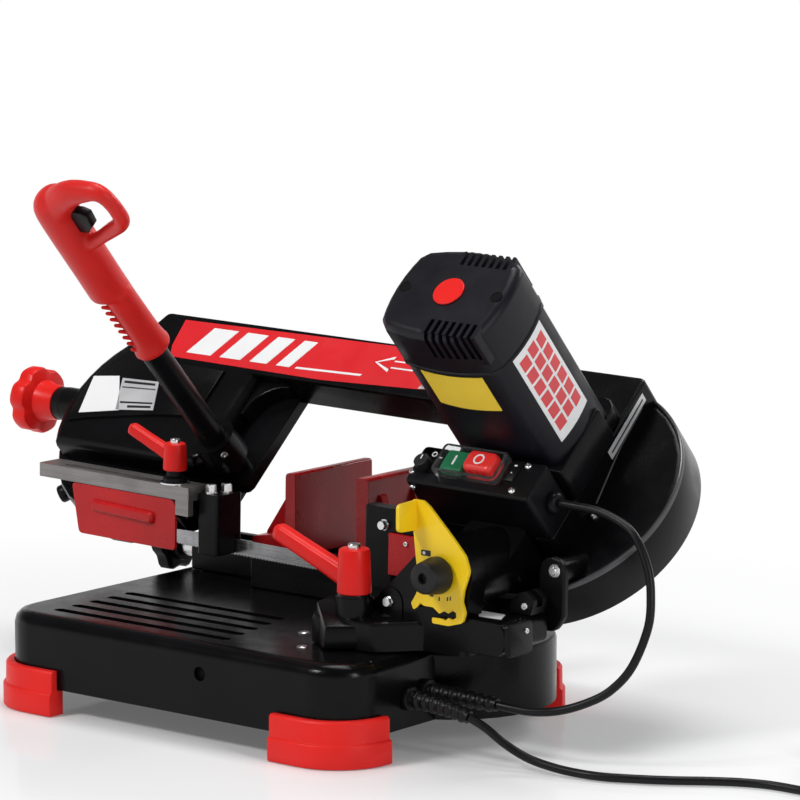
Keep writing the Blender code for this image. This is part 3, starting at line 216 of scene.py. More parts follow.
BLACK = (0.003, 0.003, 0.0036)
LOOKS = {
    "casting": surface("casting_paint", BLACK, 0.24, 700.0, 0.0003, vary=0.3, swing=0.05, gloss=0.13),
    "bench": surface("bench_paint", BLACK, 0.21, 700.0, 0.0003, vary=0.3, swing=0.05, gloss=0.13,
                     chips=True),
    "iron": surface("iron_paint", (0.004, 0.004, 0.0048), 0.32, 600.0, 0.0004, vary=0.3, gloss=0.13),
    "plastic": surface("black_moulding", (0.004, 0.004, 0.0052), 0.36, 1500.0, vary=0.2, gloss=0.13),
    "motor": surface("motor_moulding", (0.0058, 0.0054, 0.0086), 0.38, 1900.0, vary=0.2, gloss=0.2),
    "knob": surface("knob_moulding", (0.012, 0.012, 0.0125), 0.42, 1200.0, vary=0.2, gloss=0.25),
    "hole": surface("hole_shade", (0.0015, 0.0015, 0.0015), 0.7, 900.0, vary=0.2, gloss=0.1),
    "red": surface("red_moulding", (0.74, 0.013, 0.01), 0.34, 1300.0, vary=0.06, swing=0.05, gloss=0.22),
    "grip": surface("grip_moulding", (0.64, 0.016, 0.013), 0.36, 2200.0, 0.0003, vary=0.06, swing=0.05,
                    gloss=0.24),
    "button": surface("button_red", (0.8, 0.03, 0.026), 0.24, 900.0, 0.0001, vary=0.05),
    "paint": surface("red_paint", (0.34, 0.005, 0.007), 0.3, 600.0, 0.0004, vary=0.12, gloss=0.3),
    "guard": surface("guard_paint", (0.52, 0.008, 0.01), 0.3, 600.0, 0.0004, vary=0.1, gloss=0.3),
    "rubber": surface("red_rubber", (0.82, 0.02, 0.016), 0.42, 1000.0, 0.0003, vary=0.06, gloss=0.22),
    "yellow": surface("yellow_paint", (0.96, 0.64, 0.008), 0.36, 800.0, 0.0003, vary=0.04),
    "yellow_film": surface("yellow_film", (0.93, 0.66, 0.06), 0.34, 400.0, vary=0.04),
    "green": surface("button_green", (0.008, 0.16, 0.065), 0.26, 900.0, 0.0001, vary=0.06),
    "cable": surface("cable_jacket", (0.005, 0.005, 0.006), 0.36, 1600.0, gloss=0.22),
    "white": surface("white_film", (0.82, 0.82, 0.82), 0.4, 500.0, vary=0.03),
    "silver": surface("silver_film", (0.62, 0.62, 0.63), 0.38, 500.0, metal=0.4, vary=0.08),
    "red_film": surface("red_film", (0.68, 0.012, 0.018), 0.34, 500.0, vary=0.05),
    "pale_red": surface("pale_red_film", (0.68, 0.05, 0.06), 0.38, 500.0, vary=0.06),
    "ink": surface("ink_film", (0.012, 0.012, 0.014), 0.4, 500.0, vary=0.1, gloss=0.3),
    "alloy": surface("cast_alloy", (0.42, 0.42, 0.43), 0.46, 500.0, 0.0005, metal=0.9, vary=0.1),
    "zinc": surface("zinc_plate", (0.72, 0.72, 0.72), 0.26, 900.0, metal=1.0, vary=0.1),
    "bar": brushed("bar_steel", (0.25, 0.235, 0.23), 0.42, 0.8),
    "band": brushed("band_steel", (0.42, 0.42, 0.43), 0.32),
    # A pale glossy grey, lighter than the black paint round it: a painted highlight line on the dish lip and
    # the mount's edge bead
    "edge": surface("painted_highlight_grey", (0.045, 0.045, 0.048), 0.16, 700.0, vary=0.35, gloss=0.6),
    "clear": clear_cover("clear_cover"),
}
# The slot that goes with each look
SLOT_LOOKS = {
    "black_casting": "casting bench iron edge hole",
    "black_plastic": "plastic knob motor",
    "black_rubber": "cable",
    "red_plastic": "red grip",
    "red_rubber": "rubber",
    "yellow_plate": "yellow yellow_film",
    "bright_steel": "zinc",
    "blade_steel": "band",
}
LOOK_SLOTS = {look: slot for slot, looks in SLOT_LOOKS.items() for look in looks.split()}

# Looks of the CAD nodes that show, and the width of their rounded edges in millimetres
NODE_LOOKS = {
    "casting": "bow_casting gearbox_flange rear_cover",
    "bench": "base_casting swivel_arm",
    "iron": "vise_bed spring_clevis spring_bracket left_guide_block right_guide_block idler_slide "
            "handle_tube",
    "plastic": "switch_box cable_gland tension_collar guide_spacer coil_tie vise_handwheel",
    "knob": "speed_dial",
    "motor": "motor_body motor_cap",
    "red": "motor_cap_disc",
    "button": "stop_button",
    "green": "start_button",
    "paint": "fixed_jaw moving_jaw",
    "guard": "left_guard right_guard",
    "clear": "switch_frame",
    "alloy": "drive_wheel idler_wheel",
    "zinc": "hinge_pin swivel_pivot_bolt vise_screw tension_screw drive_shaft idler_axle",
    "bar": "guide_bar",
}
FINE_EDGE = 0.5
SHARP, CREASED, LEVEL = math.radians(34), math.radians(38), math.radians(0.6)
SOFT_EDGES = {
    "base_casting": 1.6, "bow_casting": 1.6, "swivel_arm": 1.6, "motor_cap": 0.8, "fixed_jaw": 1.0,
    "moving_jaw": 1.0, "stop_button": 0.8, "start_button": 0.6, "switch_box": 1.0, "motor_body": 1.5,
    "guide_bar": 0.6, "left_guide_block": 1.2, "right_guide_block": 1.2, "vise_bed": 1.5,
    "gearbox_flange": 1.5, "spring_bracket": 0.8,
}


def smooth_group():
    """A geometry group that shades smooth except over sharp edges."""
    group = bpy.data.node_groups.new("smooth_by_angle", "GeometryNodeTree")
    for way in ("INPUT", "OUTPUT"):
        group.interface.new_socket("Geometry", in_out=way, socket_type="NodeSocketGeometry")
    start = group.nodes.new("NodeGroupInput")
    end = group.nodes.new("NodeGroupOutput")
    faces = group.nodes.new("GeometryNodeSetShadeSmooth")
    edges = group.nodes.new("GeometryNodeSetShadeSmooth")
    edges.domain = "EDGE"
    edges.inputs["Shade Smooth"].default_value = False
    angle = group.nodes.new("GeometryNodeInputMeshEdgeAngle")
    sharp = group.nodes.new("FunctionNodeCompare")
    sharp.operation = "GREATER_THAN"
    sharp.inputs[1].default_value = SHARP
    group.links.new(start.outputs[0], faces.inputs["Geometry"])
    group.links.new(faces.outputs["Geometry"], edges.inputs["Geometry"])
    group.links.new(angle.outputs["Unsigned Angle"], sharp.inputs[0])
    group.links.new(sharp.outputs[0], edges.inputs["Selection"])
    group.links.new(edges.outputs["Geometry"], end.inputs[0])
    return group


SMOOTH = smooth_group()


def round_edges(item, edge):
    """Bevels hard edges by edge millimetres."""
    bevel = item.modifiers.new("edge", "BEVEL")
    bevel.width = edge * 0.001
    bevel.segments = 2
    bevel.limit_method = "ANGLE"
    bevel.angle_limit = CREASED
    return bevel


def soften(item, edge):
    """Welds, merges flat facets, rounds hard edges and shades the rest smooth."""
    item.modifiers.new("weld", "WELD").merge_threshold = 2e-6
    flat = item.modifiers.new("flat", "DECIMATE")
    flat.decimate_type = "DISSOLVE"
    flat.angle_limit = LEVEL
    round_edges(item, edge).miter_outer = "MITER_ARC"
    item.modifiers.new("smooth", "NODES").node_group = SMOOTH
    item.modifiers.new("level", "WEIGHTED_NORMAL").keep_sharp = True


for look, names in NODE_LOOKS.items():
    for node in names.split():
        NODES[node].data.materials.clear()
        NODES[node].data.materials.append(LOOKS[look])
        soften(NODES[node], SOFT_EDGES.get(node, FINE_EDGE))


# Building pieces

def face(spot=(0, 0, 0), out=UP, along=RIGHT):
    """A place on a surface: u along it, w straight out of it."""
    w = Vector(out).normalized()
    u = Vector(along)
    u = (u - w * u.dot(w)).normalized()
    v = w.cross(u)
    matrix = Matrix((u, v, w)).transposed().to_4x4()
    matrix.translation = Vector(spot)
    return matrix


def around(radius, angle):
    return radius * math.cos(angle), radius * math.sin(angle)


def polar(radius, sides=24):
    return [around(radius, 2 * math.pi * k / sides) for k in range(sides)]


def hexagon(flat):
    """A ring of 24 points on a hexagon, flat being half its width across flats."""
    ring = []
    for k in range(24):
        angle = 2 * math.pi * k / 24
        inside = (angle + math.pi / 6) % (math.pi / 3) - math.pi / 6
        ring.append(around(flat / math.cos(inside), angle))
    return ring


def cross(reach):
    """A ring of 24 points on a cross with four arms."""
    shares = (1.0, 0.96, 0.36, 0.3, 0.36, 0.96)
    return [around(reach * shares[k % 6], math.pi * k / 12) for k in range(24)]


def lobed(radius, groove):
    """A round outline with narrow grooves between six broad lobes."""
    lobes, sides, width = 6, 96, 0.17
    ring = []
    for k in range(sides):
        offset = (k * lobes / sides) % 1 - 0.5
        reach = radius - groove * math.exp(-(offset / width) ** 2)
        ring.append(around(reach, 2 * math.pi * k / sides))
    return ring


def squircle(half_u, half_v):
    """A rounded rectangle drawn as a superellipse."""
    sides, power = 28, 0.6
    ring = []
    for k in range(sides):
        u, v = around(1.0, 2 * math.pi * k / sides)
        ring.append((half_u * math.copysign(abs(u) ** power, u), half_v * math.copysign(abs(v) ** power, v)))
    return ring


def rounded(corners):
    """A closed outline through (x, y, radius) corners."""
    steps = 4
    outline = []
    count = len(corners)
    for k, (x, y, radius) in enumerate(corners):
        here = Vector((x, y))
        if radius <= 0:
            outline.append((x, y))
            continue
        back = (Vector(corners[k - 1][:2]) - here).normalized()
        ahead = (Vector(corners[(k + 1) % count][:2]) - here).normalized()
        reach = radius / math.tan(back.angle(ahead) / 2)
        start, end = here + back * reach, here + ahead * reach
        for i in range(steps + 1):
            t = i / steps
            spot = start * (1 - t) ** 2 + here * (2 * t * (1 - t)) + end * t * t
            outline.append(tuple(spot))
    return outline


def panel(width, height, radius):
    half, tall = width / 2, height / 2
    corners = ((-half, -tall), (half, -tall), (half, tall), (-half, tall))
    return rounded([(*corner, radius) for corner in corners])


def shrunk(outline, by):
    """An outline moved inwards, corner by corner."""
    count = len(outline)
    moved = []
    for k in range(count):
        before, here, after = (Vector(outline[(k + i) % count]) for i in (-1, 0, 1))
        first, second = here - before, after - here
        if first.length < 1e-6 or second.length < 1e-6:
            moved.append(tuple(here))
            continue
        normal = Vector((-first.y, first.x)).normalized() + Vector((-second.y, second.x)).normalized()
        moved.append(tuple(here + normal.normalized() * by))
    return moved


class Shape:
    """One mesh piece, gathered from parts in a layout's millimetres."""

    def __init__(self, layout):
        self.layout = layout
        self.mesh = bmesh.new()

    def rings(self, rings, where=None, closed=False):
        """Skins rings of equal length, capped at both ends or closed into a loop."""
        made = []
        for ring in rings:
            row = []
            for point in ring:
                spot = Vector(point)
                row.append(self.mesh.verts.new(where @ spot if where else spot))
            made.append(row)
        if closed:
            made.append(made[0])
        for first, second in zip(made, made[1:]):
            count = len(first)
            for k in range(count):
                self.mesh.faces.new((first[k], first[(k + 1) % count], second[(k + 1) % count], second[k]))
        if not closed:
            self.mesh.faces.new(tuple(reversed(made[0])))
            self.mesh.faces.new(tuple(made[-1]))
        return self

    def layers(self, layers, where):
        """Skins flat outlines, each a list of (u, v) at a height w."""
        return self.rings([[(u, v, w) for u, v in outline] for outline, w in layers], where)

    def slab(self, outline, low, high, where, edge=0.0):
        """A plate with its upper rim eased by edge."""
        layers = [(outline, low), (outline, high - edge)]
        if edge:
            layers.append((shrunk(outline, edge * 0.35), high - edge * 0.3))
            layers.append((shrunk(outline, edge), high))
        return self.layers(layers, where)

    def turned(self, profile, where, sides=24):
        """A solid of revolution about w, from (radius, w) pairs."""
        return self.layers([(polar(radius, sides), height) for radius, height in profile], where)

    def hoop(self, profile, where, sides):
        """A ring about w with a closed section of (radius, w) pairs."""
        rings = [[(u, v, w) for u, v in polar(radius, sides)] for radius, w in profile]
        return self.rings(rings, where, closed=True)

    def washer(self, where, inner, outer, low, high):
        """A flat ring about w."""
        return self.hoop(((outer, low), (outer, high), (inner, high), (inner, low)), where, 32)

    def socket_screw(self, where, radius, height):
        """A cap screw's head with its hexagon socket."""
        rim, well = polar(radius), hexagon(radius * 0.5)
        return self.layers([(rim, -0.3), (rim, height * 0.75), (polar(radius * 0.88), height),
                            (well, height), (well, height * 0.35)], where)

    def cross_screw(self, where, radius, height):
        """A pan head with a cross recess."""
        rim, slot = polar(radius), cross(radius * 0.58)
        return self.layers([(rim, -0.3), (rim, height * 0.35), (polar(radius * 0.84), height * 0.8),
                            (polar(radius * 0.64), height), (slot, height), (slot, height * 0.3)], where)

    def hex_bolt(self, where, flat, height, washer):
        """A hexagon head on its washer."""
        rim, head = polar(washer), hexagon(flat)
        return self.layers([(rim, -0.3), (rim, 0.9), (polar(washer * 0.95), 1.2), (head, 1.2),
                            (head, height * 0.85), (polar(flat * 0.96), height)], where)

    def tube(self, points, radius, sides):
        """A round bar along points; radius is one number or one for each point."""
        spots = [Vector(p) for p in points]
        side = None
        rings = []
        for k, spot in enumerate(spots):
            ahead = (spots[min(k + 1, len(spots) - 1)] - spots[max(k - 1, 0)]).normalized()
            if side is None:
                side = ahead.orthogonal().normalized()
            side = (side - ahead * side.dot(ahead)).normalized()
            over = ahead.cross(side)
            reach = radius if isinstance(radius, (int, float)) else radius[k]
            rings.append([spot + side * a + over * b for a, b in polar(reach, sides)])
        return self.rings(rings)

    def finish(self, name, body, look, slot=None, edge=None, melt=None):
        """Turns the parts into an object on a CAD body; melt is the grain to which parts run together."""
        bmesh.ops.recalc_face_normals(self.mesh, faces=self.mesh.faces)
        self.mesh.transform(self.layout)
        data = bpy.data.meshes.new(name)
        self.mesh.to_mesh(data)
        self.mesh.free()
        item = bpy.data.objects.new(name, data)
        bpy.context.scene.collection.objects.link(item)
        data.materials.append(LOOKS[look])
        if edge:
            round_edges(item, edge)
        if melt:
            skin = item.modifiers.new("skin", "REMESH")
            skin.mode = "VOXEL"
            skin.voxel_size = melt * 0.001
            ease = item.modifiers.new("ease", "SMOOTH")
            ease.factor = 0.5
            ease.iterations = 10
        item.modifiers.new("smooth", "NODES").node_group = SMOOTH
        if body:
            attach(item, body)
        slot = slot or LOOK_SLOTS.get(look)
        return item


# Cords

def smooth_route(points, spacing):
    """Evenly spaced points on a smooth curve through a route's own points."""
    knots = [Vector(p) for p in points]
    knots = [knots[0] * 2 - knots[1]] + knots + [knots[-1] * 2 - knots[-2]]
    fine = []
    for a, b, c, d in zip(knots, knots[1:], knots[2:], knots[3:]):
        for k in range(24):
            t = k / 24
            fine.append(0.5 * (2 * b + (c - a) * t + (2 * a - 5 * b + 4 * c - d) * t * t
                               + (3 * b - a - 3 * c + d) * t ** 3))
    fine.append(knots[-2])
    lengths = [0.0]
    for p, q in zip(fine, fine[1:]):
        lengths.append(lengths[-1] + (q - p).length)
    count = max(2, round(lengths[-1] / spacing))
    route = []
    k = 0
    for i in range(count + 1):
        want = lengths[-1] * i / count
        while k < len(fine) - 2 and lengths[k + 1] < want:
            k += 1
        share = (want - lengths[k]) / max(lengths[k + 1] - lengths[k], 1e-9)
        route.append(fine[k].lerp(fine[k + 1], min(share, 1.0)))
    return route


HEAD_CABLE = [(248, 19.9, 183.2), (256, 20, 183), (281.5, 20, 181.5), (305.2, 18, 175), (319.5, 16, 165),
              (331, 13, 146), (336.6, 9, 127.7), (337.8, 4, 105), (329.7, -4, 76.7), (316.9, -12, 59.2),
              (301.5, -19, 49.2), (282.9, -27, 42.2), (265, -34.5, 40), (248.3, -38.6, 40.9),
              (236.5, -39.94, 41.76)]
FLOOR_LINE = 3.4
COIL_X, COIL_Y = 508.0, 61.0
COIL_OUTER, COIL_PITCH, COIL_TURNS, COIL_LOW = 48.0, 7.1, 3, 4.6
MAINS = [(227, -60.94, 35.05), (240, -58.6, 28.8), (254.5, -54.9, 18.6), (271.5, -50.5, 10),
         (289.4, -47.5, 6), (307.8, -44.5, 4), (330.1, -40, FLOOR_LINE), (354.9, -29.1, FLOOR_LINE),
         (375.5, -17.4, FLOOR_LINE), (394.9, -4, FLOOR_LINE), (414.9, 7.5, FLOOR_LINE),
         (436, 14.4, FLOOR_LINE), (460.4, 15.4, FLOOR_LINE), (476, 13.6, 3.9)]


def coil_route():
    """Three turns spiralling in on the floor, then three spiralling out on top of them."""
    per_turn = 40
    wound, half = COIL_TURNS * per_turn, per_turn // 2
    points = [(COIL_X - 16, COIL_Y - COIL_OUTER, COIL_LOW), (COIL_X - 8, COIL_Y - COIL_OUTER, COIL_LOW)]
    for k in range(2 * wound + half + 1):
        if k <= wound:
            radius, rise = COIL_OUTER - COIL_PITCH * k / per_turn, 0.0
        elif k <= wound + half:
            share = (k - wound) / half
            dip = COIL_PITCH * min(k - wound, wound + half - k) / per_turn
            radius = COIL_OUTER - COIL_PITCH * COIL_TURNS - dip
            rise = COIL_PITCH * share * share * (3 - 2 * share)
        else:
            radius = COIL_OUTER - COIL_PITCH * (COIL_TURNS - (k - wound - half) / per_turn)
            rise = COIL_PITCH
        x, y = around(radius, math.radians(-90 + 360 * k / per_turn))
        points.append((COIL_X + x, COIL_Y + y, COIL_LOW + rise))
    last = points[-1]
    return points + [(last[0] - 8, last[1], last[2]), (last[0] - 24, last[1] + 1, last[2] + 0.6)]


def cord(name, points, body, node_names):
    """A jacketed cord along points of the saw's layout, returned with those points in metres."""
    item = Shape(SAW).tube(points, CORD / 2, 16).finish(name, body, "cable")
    route = [tuple(SAW @ Vector(p)) for p in points]
    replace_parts(item, *node_names)
    return item, route


def make_cords():
    route = smooth_route(HEAD_CABLE, 4)
    middle = len(route) // 2
    for half, points, bodies in (("upper", route[:middle + 1], ("head", "mitre_arm")),
                                 ("lower", route[middle:], ("mitre_arm", "base"))):
        item, line = cord("cable_" + half, points, None, ["head_cable_" + half])
        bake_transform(item)
    plug = make_plug()
    coil = coil_route()
    mains = smooth_route(MAINS + coil[:1], 5)[:-1] + [Vector(p) for p in coil]
    cord("mains_cord", mains, "base", ["mains_lead", "mains_coil"])


def make_plug():
    """A round two-pin plug: moulded neck with ribs, dished body and slim pins."""
    x0, y0, z0 = coil_route()[-1]
    axis_z = 19.0
    profile = [(0, 4.6, 0.0), (2, 5.2, 0.02)]
    for k in range(5):
        reach, grow, rise = 3 + 3.2 * k, 0.6 * k, 0.07 * k
        for along, radius, lift in ((0, 5.6, 0.05), (1.8, 5.8, 0.08), (2.0, 4.9, 0.09), (3.0, 5.0, 0.11)):
            profile.append((reach + along, radius + grow, lift + rise))
    profile += [(21, 10.0, 0.55), (26, 13.0, 0.75), (30, 16.6, 0.93), (32, 17.8, 1.0), (34, 18.3, 1.0),
                (49, 18.4, 1.0), (51, 17.9, 1.0), (52, 17.0, 1.0)]
    rings = []
    for reach, radius, rise in profile:
        middle = Vector((x0 - 0.3 - reach, y0 + reach * 0.06, z0 + (axis_z - z0) * rise))
        rings.append([middle + Vector((0, u, v)) for u, v in polar(radius, 32)])
    plug = Shape(SAW).rings(rings).finish("plug_body", "base", "plastic")
    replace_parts(plug, "plug")
    pins = Shape(SAW)
    for side in (-9.5, 9.5):
        where = face((x0 - 51, y0 + 3.1 + side, axis_z), LEFT, BACK)
        pins.turned([(2.4, 0), (2.4, 16), (2.2, 18), (1.5, 19.2)], where, 16)
    pins.finish("plug_pins", None, "zinc").parent = plug
    return plug


make_cords()


# Blade, spring and strain reliefs

def blade_at(reach):
    """Middle, width direction and outer side of the blade at a distance round its loop."""
    turn_length = math.pi * BLADE_RADIUS
    if reach < turn_length:
        return wheel_spot(-WHEEL_SPAN, math.pi / 2 + reach / BLADE_RADIUS)
    reach -= turn_length
    if reach < WHEEL_SPAN:
        x = reach - WHEEL_SPAN
        lean = WHEEL_LEAN * twist_share(x)
        wide = Vector((0, math.sin(lean), math.cos(lean)))
        return Vector((x, -BLADE_RADIUS, 0)), wide, Vector((0, -math.cos(lean), math.sin(lean)))
    reach -= WHEEL_SPAN
    if reach < turn_length:
        return wheel_spot(0.0, reach / BLADE_RADIUS - math.pi / 2)
    return Vector((turn_length - reach, BLADE_RADIUS, 0)), Vector(UP), Vector(BACK)


def wheel_spot(hub_x, angle):
    out = Vector((*around(1.0, angle), 0))
    return Vector((hub_x, 0, 0)) + out * BLADE_RADIUS, Vector(UP), out


def twist_share(x):
    """How far the blade has turned upright: fully between the guides, not at all at the wheels."""
    guide_left, guide_right = -303.0, -105.0
    if x < guide_left:
        share = (x + WHEEL_SPAN) / (guide_left + WHEEL_SPAN)
    elif x > guide_right:
        share = x / guide_right
    else:
        share = 1.0
    return share * share * (3 - 2 * share)


def make_blade():
    """The band with its row of raked teeth, set by turns to either side."""
    loop = 2 * (math.pi * BLADE_RADIUS + WHEEL_SPAN)
    teeth, gullet, tooth_set = round(loop / 3.2), 1.3, 0.15
    back = BLADE_WIDTH / 2
    rings = []
    for k in range(teeth):
        for along, depth, lean in ((0.0, 0.0, tooth_set * (k % 3 - 1)), (0.3, gullet, 0.0)):
            middle, wide, out = blade_at(loop * (k + along) / teeth)
            corners = ((depth - back, -1, lean), (back, -1, 0.0), (back, 1, 0.0), (depth - back, 1, lean))
            rings.append([middle + wide * w + out * (BLADE_THICK / 2 * side + shift)
                          for w, side, shift in corners])
    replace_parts(Shape(BOW).rings(rings, closed=True).finish("toothed_blade", "head", "band"), "blade")


def make_spring():
    """The feed spring in the arm's case: a round-wire helix with straight ends."""
    curls, radius, wire, pitch, steps = 9, 5.4, 2.0, 4.6, 24
    start, axis_y, axis_z = 202.0, -37.0, 93.0
    points = [(start - 3 * wire, axis_y + radius, axis_z)]
    for k in range(curls * steps + 1):
        y, z = around(radius, 2 * math.pi * k / steps)
        points.append((start + pitch * k / steps, axis_y + y, axis_z + z))
    points.append((points[-1][0] + 3 * wire, *points[-1][1:]))
    helix = Shape(SAW).tube(points, wire / 2, 12).finish("spring_wire", "mitre_arm", "zinc")
    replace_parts(helix, "feed_spring")


def make_relief(name, node, start, bend, end):
    """A ribbed rubber sleeve that bends over from its collar to its cord."""
    first, middle, last = Vector(start), Vector(bend), Vector(end)
    profile = [(0.0, 8.6), (0.01, 9.0), (0.06, 9.0), (0.07, 8.6), (0.08, 6.2)]
    for k in range(7):
        reach, crest, root = 0.115 + 0.123 * k, 7.3 - 0.2 * k, 5.7 - 0.15 * k
        profile += [(reach, root), (reach + 0.012, crest - 0.5), (reach + 0.03, crest),
                    (reach + 0.058, crest - 0.05), (reach + 0.076, crest - 0.6), (reach + 0.09, root)]
    profile.append((1.0, 4.9))
    rings = []
    for share, radius in profile:
        spot = first * (1 - share) ** 2 + middle * (2 * share * (1 - share)) + last * share ** 2
        ahead = ((middle - first) * (1 - share) + (last - middle) * share).normalized()
        side = ahead.cross(Vector(UP)).normalized()
        over = side.cross(ahead)
        rings.append([spot + side * u + over * v for u, v in polar(radius, 28)])
    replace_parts(Shape(SAW).rings(rings).finish(name, "base", "cable"), node)


make_blade()
make_spring()
make_relief("cable_sleeve", "cable_relief", (172.3, -43.5, 44), (205, -43.5, 44), (236, -40, 41.8))
make_relief("mains_sleeve", "mains_relief", (172.3, -63.5, 42), (204, -63.5, 42), (226.5, -61, 35.2))


# Moulded pieces that stand for plainer solids

BASE_LEFT, BASE_RIGHT, BASE_FRONT, BASE_REAR, BASE_ROUND = -180.0, 172.0, -135.0, 132.0, 38.0
FOOT_ARM, FOOT_HEEL = 29.0, 4.0
FOOT_SECTION = [(-6, 0), (8.6, 0), (9.2, 1), (9.2, 16.4), (8.6, 17.6), (7, 18.2), (6.8, 33.2), (5.2, 35),
                (0.4, 35), (0.4, 19.6), (-6, 19.6)]
FEET = [("front_left", -1, -1, 0, 0.0), ("front_right", 1, -1, 0, 0.0), ("rear_left", -1, 1, 0, 0.0),
        ("rear_right", 1, 1, 24, 6.0)]
GRIP_V = -30.0
GRIP_SECTIONS = [(176, -298, -29.6, 13.6), (177.4, -297.6, -29.5, 15.2), (180, -297.2, -29.4, 15.2),
                 (184, -296.6, -29.3, 14.0), (190, -296, -29.2, 12.9), (198, -295.7, -29.2, 12.4),
                 (225, -295.6, -29.2, 12.3), (241, -295.6, -29.2, 12.3), (242, -297.4, -29.5, 14.0),
                 (243.4, -300.2, -29.9, 15.6), (246, -300.9, -30, 16.1), (278, -299.6, -30, 16.1),
                 (305, -298.6, -30, 16.3), (328, -297.6, -30, 16.3), (338, -297, -30, 16.1),
                 (344, -296.4, -30, 15.4), (349, -295.4, -30, 13.6), (352.6, -294.2, -30, 10.6),
                 (354.6, -293, -30, 7.0), (355.6, -292, -30, 2.6)]
GUARD_BAR = [(-297, 333, 14.6), (-290, 341.6, 11.8), (-280.6, 349.8, 8.6), (-266, 357, 6.6),
             (-250.4, 360.2, 6.1), (-241.2, 360.6, 6.0), (-235.4, 356.8, 6.2), (-232.6, 348.8, 6.4),
             (-232, 340.4, 6.4), (-233.3, 331.9, 6.2), (-238.6, 326.1, 6.0), (-251.9, 318, 5.7),
             (-265.7, 309.8, 5.7), (-278, 303, 6.2), (-289, 298, 7.0)]
SELECTOR = [(171.6, 188.6, 1.0), (180, 188.4, 4), (186, 184.4, 6), (207.6, 163.6, 12), (218.6, 152, 9),
            (222.6, 141, 9), (217, 126, 7), (215.8, 118, 4), (218.6, 110, 4), (216.6, 103, 4),
            (204, 99.4, 6), (189.4, 99.6, 1.2), (189, 103, 1.0), (197.4, 102.9, 0.8),
            (201.2, 101.8, 1.0), (204, 104.4, 0.8), (207.7, 103.4, 1.0), (211.6, 105.6, 1.2),
            (211.4, 109.8, 1.2), (207.7, 111.4, 0.8), (204, 108.6, 1.0), (200.2, 110, 0.8),
            (195.4, 107.6, 1.0), (190, 111.4, 2.0), (181, 111.6, 2.0), (177.5, 113.4, 1.0),
            (175.2, 110.4, 0.8), (171.9, 107.4, 1.0), (169.8, 111.5, 1.2), (174, 118, 3),
            (177.4, 126, 5), (174.4, 143.9, 8), (172, 165.5, 0)]


def foot_route(side_x, side_y, last, square):
    """Points of the base's outline round one corner, with the way out and how far the foot stands off."""
    middle = Vector((BASE_RIGHT - BASE_ROUND if side_x > 0 else BASE_LEFT + BASE_ROUND,
                     BASE_REAR - BASE_ROUND if side_y > 0 else BASE_FRONT + BASE_ROUND))
    route = [(middle + Vector((-side_x * FOOT_ARM, side_y * BASE_ROUND)), Vector((0, side_y)), 0.0)]
    steps = 14
    for k in range(steps + 1):
        angle = math.radians(90 + (last - 90) * k / steps)
        out = Vector((side_x * math.cos(angle), side_y * math.sin(angle)))
        route.append((middle + out * BASE_ROUND, out, square * math.sin(2 * angle)))
    if last == 0:
        route.append((middle + Vector((side_x * BASE_ROUND, -side_y * FOOT_HEEL)), Vector((side_x, 0)), 0.0))
    return route


def make_feet():
    """Rubber corner shells: a tread under the base's rim and a collar round its wall."""
    for name, *corner in FEET:
        rings = []
        for spot, out, extra in foot_route(*corner):
            rings.append([(*(spot + out * (d + (extra if d > 1 else 0.0))), z) for d, z in FOOT_SECTION])
        shell = Shape(SAW).rings(rings).finish("foot_shell_" + name, "base", "rubber", edge=0.5)
        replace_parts(shell, "foot_" + name)


def make_grip():
    """The pull handle's grip: a round body with a hand guard, and slanted fins on its lower half."""
    shape = Shape(BOW)
    shape.rings([[(x + u, v + w, n) for u, w in polar(radius, 40)] for n, x, v, radius in GRIP_SECTIONS])
    bar = smooth_route([(x, GRIP_V, n) for x, n, _ in GUARD_BAR], 3.0)
    widths = smooth_route([(k, radius, 0) for k, (_, _, radius) in enumerate(GUARD_BAR)], 0.2)
    shape.tube(bar, [widths[round(k * (len(widths) - 1) / (len(bar) - 1))].y for k in range(len(bar))], 24)
    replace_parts(shape.finish("grip_shell", "head", "grip", melt=1.4), "handle_grip")
    away, across = Vector((-0.6, -0.8, 0)), Vector((-0.62, 0.46, -0.64))
    fins, pitch, low = 9, 7.0, 183.0
    comb = Shape(BOW)
    for k in range(fins):
        spot = Vector((-295.6, -29.2, low + pitch * k)) + away * 11.4
        where = face(spot, across, away * 0.75 + Vector((0, 0, 0.66)))
        comb.slab([(-2, -2.1), (5.6, -1.3), (6.4, 0), (5.6, 1.3), (-2, 2.1)], -5, 5, where)
    comb.finish("grip_fins", "head", "grip", edge=0.5)


def make_trigger():
    """A slim finger trigger with eased corners."""
    outline = rounded([(-292, 315, 0), (-275, 315, 1.5), (-266, 323, 2.0), (-264, 335, 2.0),
                       (-270, 338, 1.5), (-292, 338, 0)])
    easing = ((1.2, -3.9), (0.4, -3.6), (0.0, -3.0), (0.0, 3.0), (0.4, 3.6), (1.2, 3.9))
    shape = Shape(BOW).layers([(shrunk(outline, by), w) for by, w in easing], face((0, GRIP_V, 0), FRONT))
    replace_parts(shape.finish("trigger_shell", "trigger", "plastic"), "trigger")


